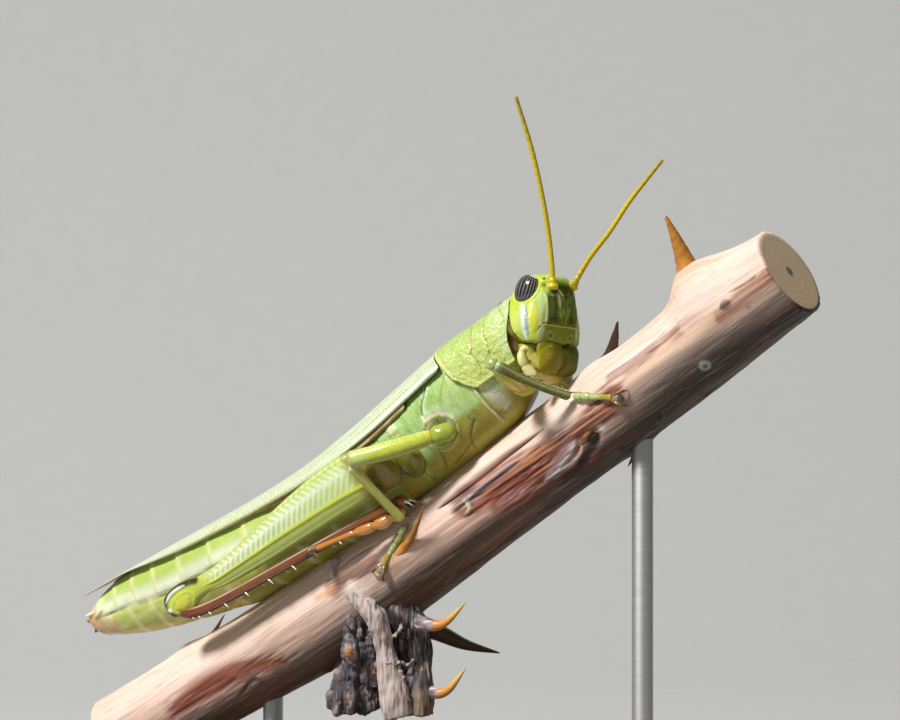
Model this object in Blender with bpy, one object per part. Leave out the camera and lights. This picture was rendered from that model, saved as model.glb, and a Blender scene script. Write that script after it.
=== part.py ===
"""A green bird grasshopper on a cut length of thorny cane, held over a small display base.

The animal is modelled along its own axes in millimetres: x from tail to head, y to its left, z to its back.
Empties then turn it into its pose, climbing the cane with its right side to the front and its face turned.
"""

import math

import bmesh
import bpy
from mathutils import Matrix, Vector

MM = 0.001
TAU = 2 * math.pi
GAP = 0.12  # between neighbouring pieces
SIDES = ((-1, "right"), (1, "left"))

# Pose: how the body lies in the world, and how the head is turned and tilted on it.
LIFT = 3.0  # of the whole specimen, so that the cane's low end clears the base
BODY_PLACE = Vector((-1.05, 0.0, 44.2))
BODY_YAW, BODY_PITCH, BODY_ROLL = -28.0, -36.0, -6.0
HEAD_PLACE = Vector((9.4, -7.4, 53.1))
HEAD_YAW, HEAD_ROLL = -44.0, -5.0

# Trunk, along x: place, top, underside and half width of each section.
THORAX = (
    (-6.7, 3.10, -5.65, 3.90),
    (-3.0, 3.50, -5.60, 4.10),
    (0.5, 3.95, -5.50, 4.20),
    (4.0, 4.40, -5.35, 4.20),
    (8.0, 4.75, -4.95, 3.95),
    (11.0, 4.80, -3.90, 3.40),
    (13.2, 4.40, -1.90, 2.60),
)
ABDOMEN = (
    (-48.2, 5.10, 0.75, 2.00),
    (-45.5, 4.95, -0.75, 2.50),
    (-42.0, 4.55, -2.05, 2.95),
    (-37.0, 4.15, -3.45, 3.30),
    (-31.0, 3.50, -4.80, 3.60),
    (-20.0, 2.75, -5.45, 3.75),
    (-12.0, 2.80, -5.70, 3.80),
    (-6.7, 3.10, -5.65, 3.90),
)
ABDOMEN_ENDS = (-6.8, -20.0, -34.0, -48.2)
TAIL_TIP = ((-51.1, 4.35, 3.35, 0.35), (-50.0, 4.85, 2.35, 1.1), (-48.3, 5.0, 1.0, 1.85))
THORAX_SECTIONS, ABDOMEN_SECTIONS, TAIL_SECTIONS = 10, 6, 5
TRUNK_SPOKES, TAIL_SPOKES, TRUNK_SQUARENESS = 16, 12, 2.35

# Back line under which the wings lie: place along x and height of the folded wings' ridge.
BACK_LINE = (
    (-50.8, 6.80),
    (-45.0, 6.30),
    (-39.0, 5.72),
    (-33.0, 5.15),
    (-23.0, 4.20),
    (-16.0, 3.98),
    (-8.0, 4.35),
    (-2.0, 4.95),
    (4.2, 5.45),
)
WING_HALF_WIDTH = (
    (-50.8, 0.35),
    (-49.6, 1.35),
    (-46.0, 2.30),
    (-38.0, 3.00),
    (-24.0, 3.50),
    (-8.0, 3.75),
    (4.2, 3.70),
)
WING_DROP = (
    (-50.8, 0.20),
    (-40.0, 0.90),
    (-24.0, 1.00),
    (-17.0, 1.55),
    (-5.0, 1.85),
    (4.2, 1.60),
)
WING_THICK, WING_STRIPS, WING_LEAN = 0.5, 6, 0.12
TEGMEN_SECTIONS, HINDWING_SECTIONS = 13, 10
TEGMEN_ENDS, HINDWING_ENDS = (4.0, -50.8), (-1.0, -46.5)
HINDWING_LAYER, HINDWING_NEST = WING_THICK + GAP + 0.04, 0.965
HINDWING_REACH = ((-46.5, 0.62), (-27.0, 0.82), (-16.0, 1.0), (-1.0, 1.0))

# Pronotum: a saddle whose margins slant, given at the ridge and at the foot of each side lobe.
SADDLE_TOP, SADDLE_WAIST, SADDLE_HALF_WIDTH, SADDLE_THICK = 5.65, 1.0, 4.35, 0.55
SADDLE_HIND, SADDLE_FRONT = (4.15, 6.5), (14.4, 13.3)
SADDLE_HIND_CURVE, SADDLE_CORNER_FROM, SADDLE_CORNER_STEP = 1.4, 0.8, 1.3
SADDLE_NARROWING, SADDLE_ROUNDNESS = 0.1, 0.85
SADDLE_TURN, SADDLE_STEPS, SADDLE_SECTIONS = math.radians(103), 7, 7

# Head, from crown to mouth in its own frame: height, back, front and half width.
HEAD = (
    (5.85, -0.6, 1.5, 0.9),
    (5.35, -1.8, 2.4, 1.85),
    (4.3, -2.6, 2.95, 2.65),
    (2.8, -2.85, 3.05, 3.3),
    (1.0, -2.7, 3.05, 3.95),
    (-0.5, -2.1, 3.0, 4.15),
    (-1.65, -1.4, 2.9, 3.95),
)
LABRUM = (
    (-1.8, 1.75, 2.9, 2.45),
    (-2.9, 1.85, 3.0, 2.75),
    (-3.9, 1.95, 2.95, 2.6),
    (-4.7, 2.1, 2.7, 2.0),
)
JAWS = (
    (-1.8, -1.1, 1.55, 3.3),
    (-3.0, -0.6, 1.65, 3.1),
    (-4.4, 0.1, 1.75, 2.6),
    (-5.7, 0.8, 1.85, 1.7),
)
HEAD_SECTIONS, HEAD_SPOKES, MOUTH_SECTIONS, MOUTH_SPOKES, HEAD_SQUARENESS = 11, 16, 5, 12, 2.6
EYE_PLACE, EYE_HALF_SIZES = Vector((0.1, -2.58, 3.82)), Vector((1.38, 1.02, 1.65))
EYE_LEAN_FORWARD, EYE_LEAN_IN = math.radians(11), math.radians(8)
EYE_SEGMENTS, EYE_RINGS = 12, 8
ANTENNA_HALF_THICK, ANTENNA_SECTIONS, ANTENNA_SIDES = 0.28, 10, 6
ANTENNA_ROOT = (2.8, -1.5, 4.1)
ANTENNA_RIGHT = (ANTENNA_ROOT, (2.8, -2.5, 8.4), (2.9, -4.0, 12.7), (2.9, -6.05, 17.5), (2.6, -8.7, 22.9))
ANTENNA_LEFT = ((2.7, 1.2, 4.4), (3.0, 3.4, 7.7), (3.0, 6.3, 10.8), (2.6, 9.8, 14.6), (2.2, 15.0, 19.5))
PALPS = (
    ((0.8, -2.2, -2.4), (0.75, -3.0, -3.0), (1.1, -2.95, -4.2), (1.7, -2.4, -5.5)),
    ((1.2, -1.1, -4.6), (1.4, -1.35, -5.5), (2.0, -1.3, -6.3)),
)
PALP_HALF_THICK, PALP_SECTIONS, PALP_SIDES = 0.33, 4, 5

# Walking legs, for the right side: points along the hip, thigh and shin, half thickness along the
# thigh, and the foot on the cane, as x of heel and toe and their angles from the cane's top.
WALKING_LEGS = {
    ("front", "right"): (
        ((11.3, -1.8, -2.4), (11.4, -2.7, -3.3)),
        ((11.3, -2.6, -3.0), (12.4, -6.2, -1.4), (13.7, -10.1, 0.5)),
        ((13.82, -9.82, 0.1), (14.8, -7.4, -3.2), (16.3, -4.5, -6.6)),
        (0.8, 0.95, 0.75),
        (16.6, 20.6, 54.0, 84.0),
    ),
    ("front", "left"): (
        ((11.3, -1.8, -2.4), (11.4, -2.7, -3.3)),
        ((11.3, -2.6, -3.0), (10.9, -5.4, -4.0), (10.3, -7.9, -5.1)),
        ((10.55, -7.7, -5.2), (13.2, -7.2, -6.8), (15.6, -6.0, -8.6)),
        (0.8, 0.9, 0.75),
        (16.2, 20.6, 66.0, 92.0),
    ),
    ("middle", "right"): (
        ((2.2, -3.2, -1.6), (2.4, -4.7, -2.1)),
        ((2.5, -4.7, -2.2), (-2.0, -6.8, -0.9), (-7.3, -8.9, 0.9)),
        ((-7.3, -8.72, 0.43), (-7.4, -7.3, -3.4), (-7.5, -5.6, -7.2)),
        (0.75, 0.85, 0.7),
        (-8.2, -12.6, 56.0, 80.0),
    ),
    ("middle", "left"): (
        ((2.2, -3.2, -1.6), (2.4, -4.7, -2.1)),
        ((2.5, -4.7, -2.2), (-1.4, -7.0, -1.4), (-6.2, -9.2, 0.0)),
        ((-6.19, -9.0, -0.45), (-6.1, -7.3, -4.2), (-6.2, -5.5, -8.3)),
        (0.75, 0.85, 0.7),
        (-6.6, -11.6, 66.0, 86.0),
    ),
}
HIP_HALF_THICK, SHIN_HALF_THICK, FOOT_HALF_THICK = (1.35, 1.15), (0.5, 0.45, 0.42), (0.42, 0.45, 0.35, 0.42)
FOOT_STEPS = ((0.0, 0.62), (0.35, 0.45), (0.7, 0.45), (1.0, 0.5))  # share of the foot, height over the cane

# Jumping legs, folded along the abdomen: the thigh's place, top, underside and half width.
JUMPING_THIGH = (
    (-37.9, -0.15, -1.55, 0.5),
    (-36.7, 0.45, -2.05, 0.8),
    (-35.2, 0.35, -1.95, 0.75),
    (-33.6, 0.1, -1.6, 0.6),
    (-30.0, 0.35, -2.05, 0.7),
    (-24.0, 1.05, -2.65, 0.95),
    (-18.0, 1.8, -3.05, 1.2),
    (-12.0, 2.2, -3.4, 1.35),
    (-8.0, 1.9, -3.75, 1.3),
    (-5.6, 0.7, -3.8, 1.1),
    (-4.5, -0.5, -3.4, 0.8),
)
JUMPING_THIGH_OUT, JUMPING_THIGH_SPREAD, JUMPING_THIGH_SECTIONS = 5.45, 0.024, 15
JUMPING_HIP, JUMPING_HIP_HALF_THICK = ((-3.6, -3.0, -2.3), (-4.4, -4.6, -2.5)), (1.5, 1.25)
JUMPING_HINGE = Vector((-4.6, -4.6, -2.4))
JUMPING_SHIN = ((-36.9, -6.25, -1.3), (-33.5, -6.25, -2.85), (-20.0, -6.0, -4.3), (-6.2, -4.7, -5.45))
JUMPING_SHIN_HALF_THICK = (0.62, 0.6, 0.52, 0.6)
SPINE_ROWS, SPINES, SPINE_SPAN = (-0.42, 0.42), 7, (0.3, 0.92)
SPINE_REACH, SPINE_HALF_THICK = Vector((0.75, 0.0, -1.15)), 0.22
LEFT_DROOP = 5.0
RIGHT_JUMPING_FOOT = ((-7.1, -4.75, -6.35), (-9.6, -5.9, -6.15), (-13.2, -6.8, -5.3), (-17.4, -7.2, -4.5))
LEFT_JUMPING_FOOT = ((-8.3, 57.0, 1.3), (-11.0, 60.0, 0.6), (-14.0, 64.0, 0.5), (-18.0, 69.0, 0.55))
JUMPING_FOOT_HALF_THICK = (0.5, 0.6, 0.42, 0.38)

# Cane: its axis under the body, its half thickness, its thorns and the dead shoot that hangs from it.
CANE_AXIS = (
    (-57.0, -8.5),
    (-41.0, -9.65),
    (-25.0, -10.75),
    (-10.0, -10.85),
    (8.0, -10.25),
    (26.0, -9.55),
    (42.0, -8.65),
)
CANE_HALF_THICK = ((-57.0, 4.75), (-38.0, 4.9), (-24.0, 5.35), (-12.0, 4.95), (10.0, 4.8), (42.0, 4.7))
CANE_SECTIONS, CANE_SPOKES, CANE_MIDDLE = 18, 16, (0.0, 0.0, -10.5)
# Each thorn: root on the cane (x, angle from the top in degrees), tip, and half thickness at the root.
THORNS = (
    ((-41.2, 14.0), (-36.6, 1.6, -3.9), 0.75),
    ((-10.4, -74.0), (-4.0, -6.9, -7.4), 1.05),
    ((18.6, 22.0), (22.2, 2.2, -2.6), 0.7),
    ((33.2, -4.0), (34.3, -0.3, 3.0), 1.7),
    ((17.2, 166.0), (14.6, 1.0, -15.6), 0.6),
)
THORN_SIDES, THORN_SECTIONS, THORN_ROOT_DEPTH, THORN_BOW = 6, 4, 0.9, 0.06
SPINE_SIDES, SPINE_SECTIONS = 3, 3
SHOOT_ROOT, SHOOT_TIP = Vector((-6.0, 3.4, 26.5)), Vector((-4.9, 4.2, 12.2))
SHOOT_HALF_THICK, SHOOT_SECTIONS = (2.7, 2.35, 2.2, 2.25, 2.3, 2.1), 8
SHOOT_THORNS = (
    ((-4.6, 2.6, 21.0), (1.7, 0.6, 24.5)),
    ((-4.2, 3.2, 14.4), (1.7, 1.6, 17.5)),
    ((-4.4, 4.6, 20.6), (5.4, 6.5, 18.6)),
)
SHOOT_THORN_HALF_THICK, SHOOT_THORN_BOW = 0.8, 0.08
BUD_ROOT, BUD_TIP = Vector((-9.5, 4.3, 25.5)), Vector((-10.2, 4.4, 12.6))
BUD_HALF_THICK, BUD_SECTIONS = (1.9, 1.5, 1.9, 1.3, 1.6, 0.8), 9

# Stand.
BASE_LONG, BASE_WIDE, BASE_THICK, BASE_CORNER, BASE_EDGE = 78.0, 44.0, 5.0, 9.0, 0.8
BASE_CORNER_STEPS, BASE_EDGE_STEPS = 5, 2
ROD_HALF_THICK, ROD_SIDES, ROD_PLACES = 1.1, 12, (-36.0, 19.0)

GREEN, PALE_GREEN, OLIVE = (0.22, 0.42, 0.05), (0.42, 0.55, 0.14), (0.30, 0.36, 0.04)
YELLOW, STRAW, BROWN = (0.62, 0.52, 0.05), (0.55, 0.58, 0.38), (0.35, 0.2, 0.1)
MAROON, BARK, THORN_ORANGE = (0.30, 0.06, 0.03), (0.58, 0.38, 0.28), (0.6, 0.22, 0.05)
TAN = (0.55, 0.3, 0.1)
EYE_DARK, WALNUT, STEEL = (0.03, 0.02, 0.02), (0.08, 0.04, 0.02), (0.6, 0.6, 0.6)


def smooth(stations, place):
    """The values at a place along the stations (place, value, ...), on a curve through them."""
    last = len(stations) - 1
    near = max(0, min(last - 1, sum(station[0] <= place for station in stations) - 1))

    def slope(index, column):
        low, high = stations[max(0, index - 1)], stations[min(last, index + 1)]
        return (high[column] - low[column]) / (high[0] - low[0])

    start, end = stations[near], stations[near + 1]
    span = end[0] - start[0]
    t = min(1.0, max(0.0, (place - start[0]) / span))
    values = []
    for column in range(1, len(start)):
        bend_in, bend_out = slope(near, column) * span, slope(near + 1, column) * span
        values.append(
            (2 * t**3 - 3 * t**2 + 1) * start[column]
            + (t**3 - 2 * t**2 + t) * bend_in
            + (3 * t**2 - 2 * t**3) * end[column]
            + (t**3 - t**2) * bend_out
        )
    return values if len(values) > 1 else values[0]


def spread(start, end, count):
    """Evenly spaced numbers from start to end, both included."""
    return [start + (end - start) * index / (count - 1) for index in range(count)]


def oval(spokes, squareness=2.0):
    """Points of a unit oval, which is a circle at squareness 2 and nears a square above it."""
    points = []
    for spoke in range(spokes):
        angle = TAU * (spoke + 0.5) / spokes
        across, up = math.cos(angle), math.sin(angle)
        power = 2 / squareness
        points.append((math.copysign(abs(across) ** power, across), math.copysign(abs(up) ** power, up)))
    return points


def loft(rings):
    """A closed mesh through rings of points, extruded from one ring to the next, with flat ends."""
    shape = bmesh.new()
    spoke = shape.verts.layers.int.new("spoke")
    edge_verts = bmesh.ops.create_circle(shape, segments=len(rings[0]), radius=1)["verts"]
    for number, vert in enumerate(edge_verts):
        vert[spoke] = number
        vert.co = rings[0][number]
    edges = list(shape.edges)
    bmesh.ops.contextual_create(shape, geom=edges)
    for ring in rings[1:]:
        made = bmesh.ops.extrude_edge_only(shape, edges=edges)["geom"]
        verts = {item for item in made if isinstance(item, bmesh.types.BMVert)}
        edges = [item for item in made if isinstance(item, bmesh.types.BMEdge) and set(item.verts) <= verts]
        for vert in verts:
            vert.co = ring[vert[spoke]]
    bmesh.ops.contextual_create(shape, geom=edges)
    bmesh.ops.recalc_face_normals(shape, faces=shape.faces)
    return shape


def trunk(stations, start, end, sections, spokes=TRUNK_SPOKES, squareness=TRUNK_SQUARENESS):
    """A body length along x, whose oval sections come from stations of top, underside and half width."""
    rings = []
    for x in spread(start, end, sections):
        top, under, half_width = smooth(stations, x)
        middle, half_height = (top + under) / 2, (top - under) / 2
        section = oval(spokes, squareness)
        ring = [Vector((x, half_width * across, middle + half_height * up)) for across, up in section]
        rings.append(ring)
    return loft(rings)


def stack(stations, sections, spokes):
    """A piece of the head, whose oval sections lie one below the other."""
    rings = []
    rising = sorted(stations)
    for z in spread(stations[0][0], stations[-1][0], sections):
        back, front, half_width = smooth(rising, z)
        middle, half_depth = (front + back) / 2, (front - back) / 2
        section = oval(spokes, HEAD_SQUARENESS)
        ring = [Vector((middle + half_depth * along, half_width * across, z)) for along, across in section]
        rings.append(ring)
    return loft(rings)


def limb(points, half_sizes, sections, spokes=8, up=Vector((0.0, 0.0, 1.0))):
    """A tapering round limb along a curve through the points."""
    route = [(index, *point) for index, point in enumerate(points)]
    sizes = list(enumerate(half_sizes))
    last = len(points) - 1
    rings = []
    for share in spread(0.0, 1.0, sections):
        along = share * last
        here = Vector(smooth(route, along))
        ahead = Vector(smooth(route, min(along + 0.05, last)))
        behind = Vector(smooth(route, max(along - 0.05, 0)))
        heading = (ahead - behind).normalized()
        side = heading.cross(up).normalized()
        above = side.cross(heading)
        size = smooth(sizes, share * (len(sizes) - 1))
        rings.append([here + (side * wide + above * tall) * size for wide, tall in oval(spokes)])
    return loft(rings)


def horn(root, tip, half_thick, sides=THORN_SIDES, sections=THORN_SECTIONS, bow=0.0):
    """A thorn or spine: wide at its root and drawn to a blunt point, bowed by a share of its length."""
    root, tip = Vector(root), Vector(tip)
    middle = root.lerp(tip, 0.5) + Vector((0.0, 0.0, -bow)) * (tip - root).length
    half_sizes = (half_thick, half_thick * 0.42, half_thick * 0.08)
    return limb((root, middle, tip), half_sizes, sections, sides, Vector((0.31, 0.9, 0.3)))


def empty(name, place, turn, parent=None):
    """An empty that carries pieces, at a place in millimetres."""
    carrier = bpy.data.objects.new(name, None)
    bpy.context.scene.collection.objects.link(carrier)
    carrier.parent = parent
    carrier.matrix_local = Matrix.Translation(place * MM) @ turn
    return carrier


def turned(axis, degrees):
    return Matrix.Rotation(math.radians(degrees), 4, axis)


def node(name, shape, carrier, place, colour, roughness=0.45, metallic=0.0):
    """A named solid with its own material. Shape and origin are given in the carrier's millimetres.

    With no carrier they are the world's.
    """
    place = Vector(place)
    for vert in shape.verts:
        vert.co = (vert.co - place) * MM
    mesh = bpy.data.meshes.new(name)
    shape.to_mesh(mesh)
    shape.free()
    mesh.shade_smooth()
    mesh.set_sharp_from_angle(angle=math.radians(40))
    finish = bpy.data.materials.new(name)
    finish.use_nodes = True
    surface = finish.node_tree.nodes["Principled BSDF"]
    surface.inputs["Base Color"].default_value = (*colour, 1.0)
    surface.inputs["Roughness"].default_value = roughness
    surface.inputs["Metallic"].default_value = metallic
    mesh.materials.append(finish)
    piece = bpy.data.objects.new(name, mesh)
    bpy.context.scene.collection.objects.link(piece)
    piece.parent = carrier
    piece.location = place * MM
    return piece


def joined(shapes):
    """Several shapes in one mesh, to be united with a solid that they all reach into."""
    together = bmesh.new()
    for shape in shapes:
        part = bpy.data.meshes.new("part")
        shape.to_mesh(part)
        shape.free()
        together.from_mesh(part)
        bpy.data.meshes.remove(part)
    return together


def hidden(piece):
    piece.hide_render = True
    piece.display_type = "WIRE"
    return piece


def combine(piece, other, operation):
    boolean = piece.modifiers.new(f"{operation.lower()} {other.name}", "BOOLEAN")
    boolean.operation = operation
    boolean.solver = "EXACT"
    boolean.object = other


def unite(piece, shape, place):
    """Joins more shape to a piece, such as spines to a shin. The shape is in the carrier's millimetres."""
    combine(piece, hidden(node(f"{piece.name}_growth", shape, piece.parent, place, BROWN)), "UNION")


def cut_clear(piece, *neighbours, gap=GAP):
    """Cuts a piece back from each neighbour, a gap away from its skin."""
    for neighbour in neighbours:
        name = f"{neighbour.name}_clearance"
        cutter = bpy.data.objects.get(name)
        if cutter is None:
            cutter = hidden(bpy.data.objects.new(name, neighbour.data.copy()))
            bpy.context.scene.collection.objects.link(cutter)
            cutter.parent = neighbour.parent
            cutter.location = neighbour.location
            for vertex in cutter.data.vertices:
                vertex.co += vertex.normal * gap * MM
        combine(piece, cutter, "DIFFERENCE")


def cane_point(x, degrees, height=0.0):
    """A point over the cane's skin, at an angle from its top line that is negative on the right side."""
    reach, angle = smooth(CANE_HALF_THICK, x) + height, math.radians(degrees)
    return Vector((x, reach * math.sin(angle), smooth(CANE_AXIS, x) + reach * math.cos(angle)))


def make_trunk(body):
    pronotum = node("pronotum", saddle(), body, (9.0, 0.0, 5.0), GREEN, 0.5)
    shape = trunk(THORAX, THORAX[0][0], THORAX[-1][0], THORAX_SECTIONS)
    thorax = node("thorax", shape, body, (2.0, 0.0, 0.0), GREEN, 0.5)
    cut_clear(thorax, pronotum)
    for name, start, end in zip(("front", "middle", "rear"), ABDOMEN_ENDS, ABDOMEN_ENDS[1:]):
        shape = trunk(ABDOMEN, start - GAP / 2, end + GAP / 2, ABDOMEN_SECTIONS)
        node(f"abdomen_{name}", shape, body, (start, 0.0, 0.0), PALE_GREEN, 0.4)
    shape = trunk(TAIL_TIP, TAIL_TIP[-1][0], TAIL_TIP[0][0], TAIL_SECTIONS, TAIL_SPOKES)
    node("ovipositor", shape, body, (TAIL_TIP[-1][0], 0.0, 3.0), TAN)
    return pronotum, thorax


def saddle_hind(low):
    """Where the saddle's hind margin lies, from the ridge at 0 to the foot of a side lobe at 1."""
    corner = max(0.0, low - SADDLE_CORNER_FROM) / (1 - SADDLE_CORNER_FROM)
    slant = (SADDLE_HIND[1] - SADDLE_HIND[0]) * low**SADDLE_HIND_CURVE
    return SADDLE_HIND[0] + slant + SADDLE_CORNER_STEP * corner


def saddle():
    """The pronotum: a bent plate over the back and down both sides, with a slanted hind margin."""
    half = [step / SADDLE_STEPS for step in range(SADDLE_STEPS + 1)]
    across = [-share for share in reversed(half[1:])] + half
    rings = []
    for along in spread(0.0, 1.0, SADDLE_SECTIONS):
        outer, inner = [], []
        narrowing = 1 - SADDLE_NARROWING * along**2
        for share in across:
            angle, low = share * SADDLE_TURN, abs(share)
            hind, front = saddle_hind(low), SADDLE_FRONT[0] + (SADDLE_FRONT[1] - SADDLE_FRONT[0]) * low
            out = math.copysign(abs(math.sin(angle)) ** SADDLE_ROUNDNESS, angle)
            up = math.copysign(abs(math.cos(angle)) ** SADDLE_ROUNDNESS, math.cos(angle))
            for points, inset in ((outer, 0.0), (inner, SADDLE_THICK)):
                y = (SADDLE_HALF_WIDTH - inset) * narrowing * out
                z = SADDLE_WAIST + (SADDLE_TOP - SADDLE_WAIST - inset) * up
                points.append(Vector((hind + (front - hind) * along, y, z)))
        rings.append(outer + inner[::-1])
    return loft(rings)


def wing_section(x, side, layer=0.0, nest=1.0, reach=1.0, lag=0.0):
    """A folded wing's section: a flat top that bends down at its outer edge, with its thickness below.

    With a lag of 1 its points lie along the saddle's hind margin, and with 0 in one plane.
    """
    half_width, drop = smooth(WING_HALF_WIDTH, x) * nest, smooth(WING_DROP, x)
    inner = GAP / 2
    top, under = [], []
    for share in spread(0.0, 1.0, WING_STRIPS):
        y = inner + (half_width * reach - inner) * share
        angle = math.asin((y / SADDLE_HALF_WIDTH) ** (1 / SADDLE_ROUNDNESS))
        along = x + lag * (saddle_hind(angle / SADDLE_TURN) - SADDLE_HIND[0])
        height = smooth(BACK_LINE, x) - layer - drop * (y / half_width) ** 3
        top.append(Vector((along, side * y, height)))
        under.append(top[-1] - Vector((0.0, side * WING_LEAN * share, WING_THICK)))
    return top + under[::-1]


def make_wings(body):
    for side, name in SIDES:
        rings = []
        for share in spread(0.0, 1.0, TEGMEN_SECTIONS):
            x = TEGMEN_ENDS[0] + (TEGMEN_ENDS[1] - TEGMEN_ENDS[0]) * share
            rings.append(wing_section(x, side, lag=(1 - share) ** 3))
        node(f"tegmen_{name}", loft(rings), body, (4.0, side * 2.0, 4.6), STRAW, 0.35)
        rings = []
        for x in spread(*HINDWING_ENDS, HINDWING_SECTIONS):
            rings.append(wing_section(x, side, HINDWING_LAYER, HINDWING_NEST, smooth(HINDWING_REACH, x)))
        node(f"hindwing_{name}", loft(rings), body, (HINDWING_ENDS[0], side * 2.0, 4.0), BROWN, 0.4)


def make_head(head):
    skull = node("head", stack(HEAD, HEAD_SECTIONS, HEAD_SPOKES), head, (0.0, 0.0, 0.0), GREEN, 0.3)
    shape = stack(LABRUM, MOUTH_SECTIONS, MOUTH_SPOKES)
    node("labrum", shape, head, (2.5, 0.0, LABRUM[0][0]), OLIVE, 0.35)
    shape = stack(JAWS, MOUTH_SECTIONS, MOUTH_SPOKES)
    jaws = node("mouthparts", shape, head, (0.5, 0.0, JAWS[0][0]), YELLOW, 0.4)
    palps = []
    for route in PALPS:
        for side, _ in SIDES:
            points, sizes = mirrored(route, side), (PALP_HALF_THICK,) * 3
            palps.append(limb(points, sizes, PALP_SECTIONS, PALP_SIDES, Vector((0.2, 1.0, 0.1))))
    unite(jaws, joined(palps), (0.5, 0.0, -3.0))
    for side, name in SIDES:
        eye = node(f"eye_{name}", eyeball(side), head, mirrored((EYE_PLACE,), side)[0], EYE_DARK, 0.12)
        cut_clear(eye, skull)
        route = ANTENNA_RIGHT if side < 0 else ANTENNA_LEFT
        sizes = (ANTENNA_HALF_THICK * 1.5, *(ANTENNA_HALF_THICK,) * 4)
        shape = limb(route, sizes, ANTENNA_SECTIONS, ANTENNA_SIDES, Vector((1.0, 0.0, 0.1)))
        cut_clear(node(f"antenna_{name}", shape, head, route[0], YELLOW), skull)
    return skull


def eyeball(side):
    """An oval eye, leaned forwards and in at its top."""
    ball = bmesh.new()
    bmesh.ops.create_uvsphere(ball, u_segments=EYE_SEGMENTS, v_segments=EYE_RINGS, radius=1)
    lean = Matrix.Rotation(EYE_LEAN_FORWARD, 4, "Y") @ Matrix.Rotation(EYE_LEAN_IN * side, 4, "X")
    place = Matrix.Translation(mirrored((EYE_PLACE,), side)[0])
    bmesh.ops.transform(ball, matrix=place @ lean @ Matrix.Diagonal((*EYE_HALF_SIZES, 1)), verts=ball.verts)
    return ball


def mirrored(points, side):
    """Right-side points, or the same on the left."""
    return [Vector((x, -y * side, z)) for x, y, z in points]


def make_walking_legs(body, thorax, cane):
    """The front and middle legs, whose feet hold the cane on both sides."""
    for (pair, name), (hip, thigh, shin, thigh_sizes, foot_ends) in WALKING_LEGS.items():
        side = -1 if name == "right" else 1
        hip, thigh, shin = (mirrored(points, side) for points in (hip, thigh, shin))
        heel, toe, heel_angle, toe_angle = foot_ends
        label = f"leg_{name}_{pair}"
        coxa = node(f"{label}_coxa", limb(hip, HIP_HALF_THICK, 3), body, hip[0], PALE_GREEN)
        cut_clear(coxa, thorax)
        femur = node(f"{label}_femur", limb(thigh, thigh_sizes, 6), body, thigh[0], PALE_GREEN)
        cut_clear(femur, coxa, thorax)
        tibia = node(f"{label}_tibia", limb(shin, SHIN_HALF_THICK, 6, 7), body, shin[0], OLIVE)
        cut_clear(tibia, femur)
        foot = []
        for share, height in FOOT_STEPS:
            angle = heel_angle + (toe_angle - heel_angle) * share
            foot.append(cane_point(heel + (toe - heel) * share, angle * side, height))
        tarsus = node(f"{label}_tarsus", limb(foot, FOOT_HALF_THICK, 6, 7), body, foot[0], OLIVE)
        cut_clear(tarsus, tibia, cane)


def make_jumping_legs(body, thorax, cane):
    """The hind legs, folded along the abdomen. The left one lies lower, its foot on the cane."""
    for side, name in SIDES:
        label = f"leg_{name}_hind"
        hip, shin = mirrored(JUMPING_HIP, side), mirrored(JUMPING_SHIN, side)
        hinge = mirrored((JUMPING_HINGE,), side)[0]
        droop = turned("Y", LEFT_DROOP if side > 0 else 0.0)
        swing = Matrix.Translation(hinge) @ droop @ Matrix.Translation(-hinge)
        coxa = node(f"{label}_coxa", limb(hip, JUMPING_HIP_HALF_THICK, 3), body, hip[0], PALE_GREEN)
        cut_clear(coxa, thorax)
        root, tip = JUMPING_THIGH[-1][0], JUMPING_THIGH[0][0]
        shape = trunk(JUMPING_THIGH, root, tip, JUMPING_THIGH_SECTIONS, TAIL_SPOKES)
        for vert in shape.verts:
            vert.co.y += side * (JUMPING_THIGH_OUT + JUMPING_THIGH_SPREAD * (root - vert.co.x))
        bmesh.ops.transform(shape, matrix=swing, verts=shape.verts)
        femur = node(f"{label}_femur", shape, body, hinge, PALE_GREEN, 0.35)
        cut_clear(femur, coxa, thorax)
        shape, growth = limb(shin, JUMPING_SHIN_HALF_THICK, 11), joined(shin_spines(shin))
        for moved in (shape, growth):
            bmesh.ops.transform(moved, matrix=swing, verts=moved.verts)
        knee = swing @ shin[0]
        tibia = node(f"{label}_tibia", shape, body, knee, MAROON, 0.35)
        unite(tibia, growth, knee)
        cut_clear(tibia, femur)
        if side < 0:
            foot = [Vector(point) for point in RIGHT_JUMPING_FOOT]
        else:
            foot = [cane_point(*place) for place in LEFT_JUMPING_FOOT]
        shape = limb(foot, JUMPING_FOOT_HALF_THICK, 7, 7)
        tarsus = node(f"{label}_tarsus", shape, body, foot[0], THORN_ORANGE)
        cut_clear(tarsus, tibia, cane)


def shin_spines(shin):
    """Two rows of spines along the underside of a folded shin."""
    route = [(index, *point) for index, point in enumerate(shin)]
    spines = []
    for row in SPINE_ROWS:
        for share in spread(*SPINE_SPAN, SPINES):
            root = Vector(smooth(route, share * (len(shin) - 1))) + Vector((0.0, 0.8 * row, 0.0))
            tip = root + SPINE_REACH + Vector((0.0, 1.3 * row, 0.0))
            spines.append(horn(root, tip, SPINE_HALF_THICK, SPINE_SIDES, SPINE_SECTIONS))
    return spines


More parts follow.
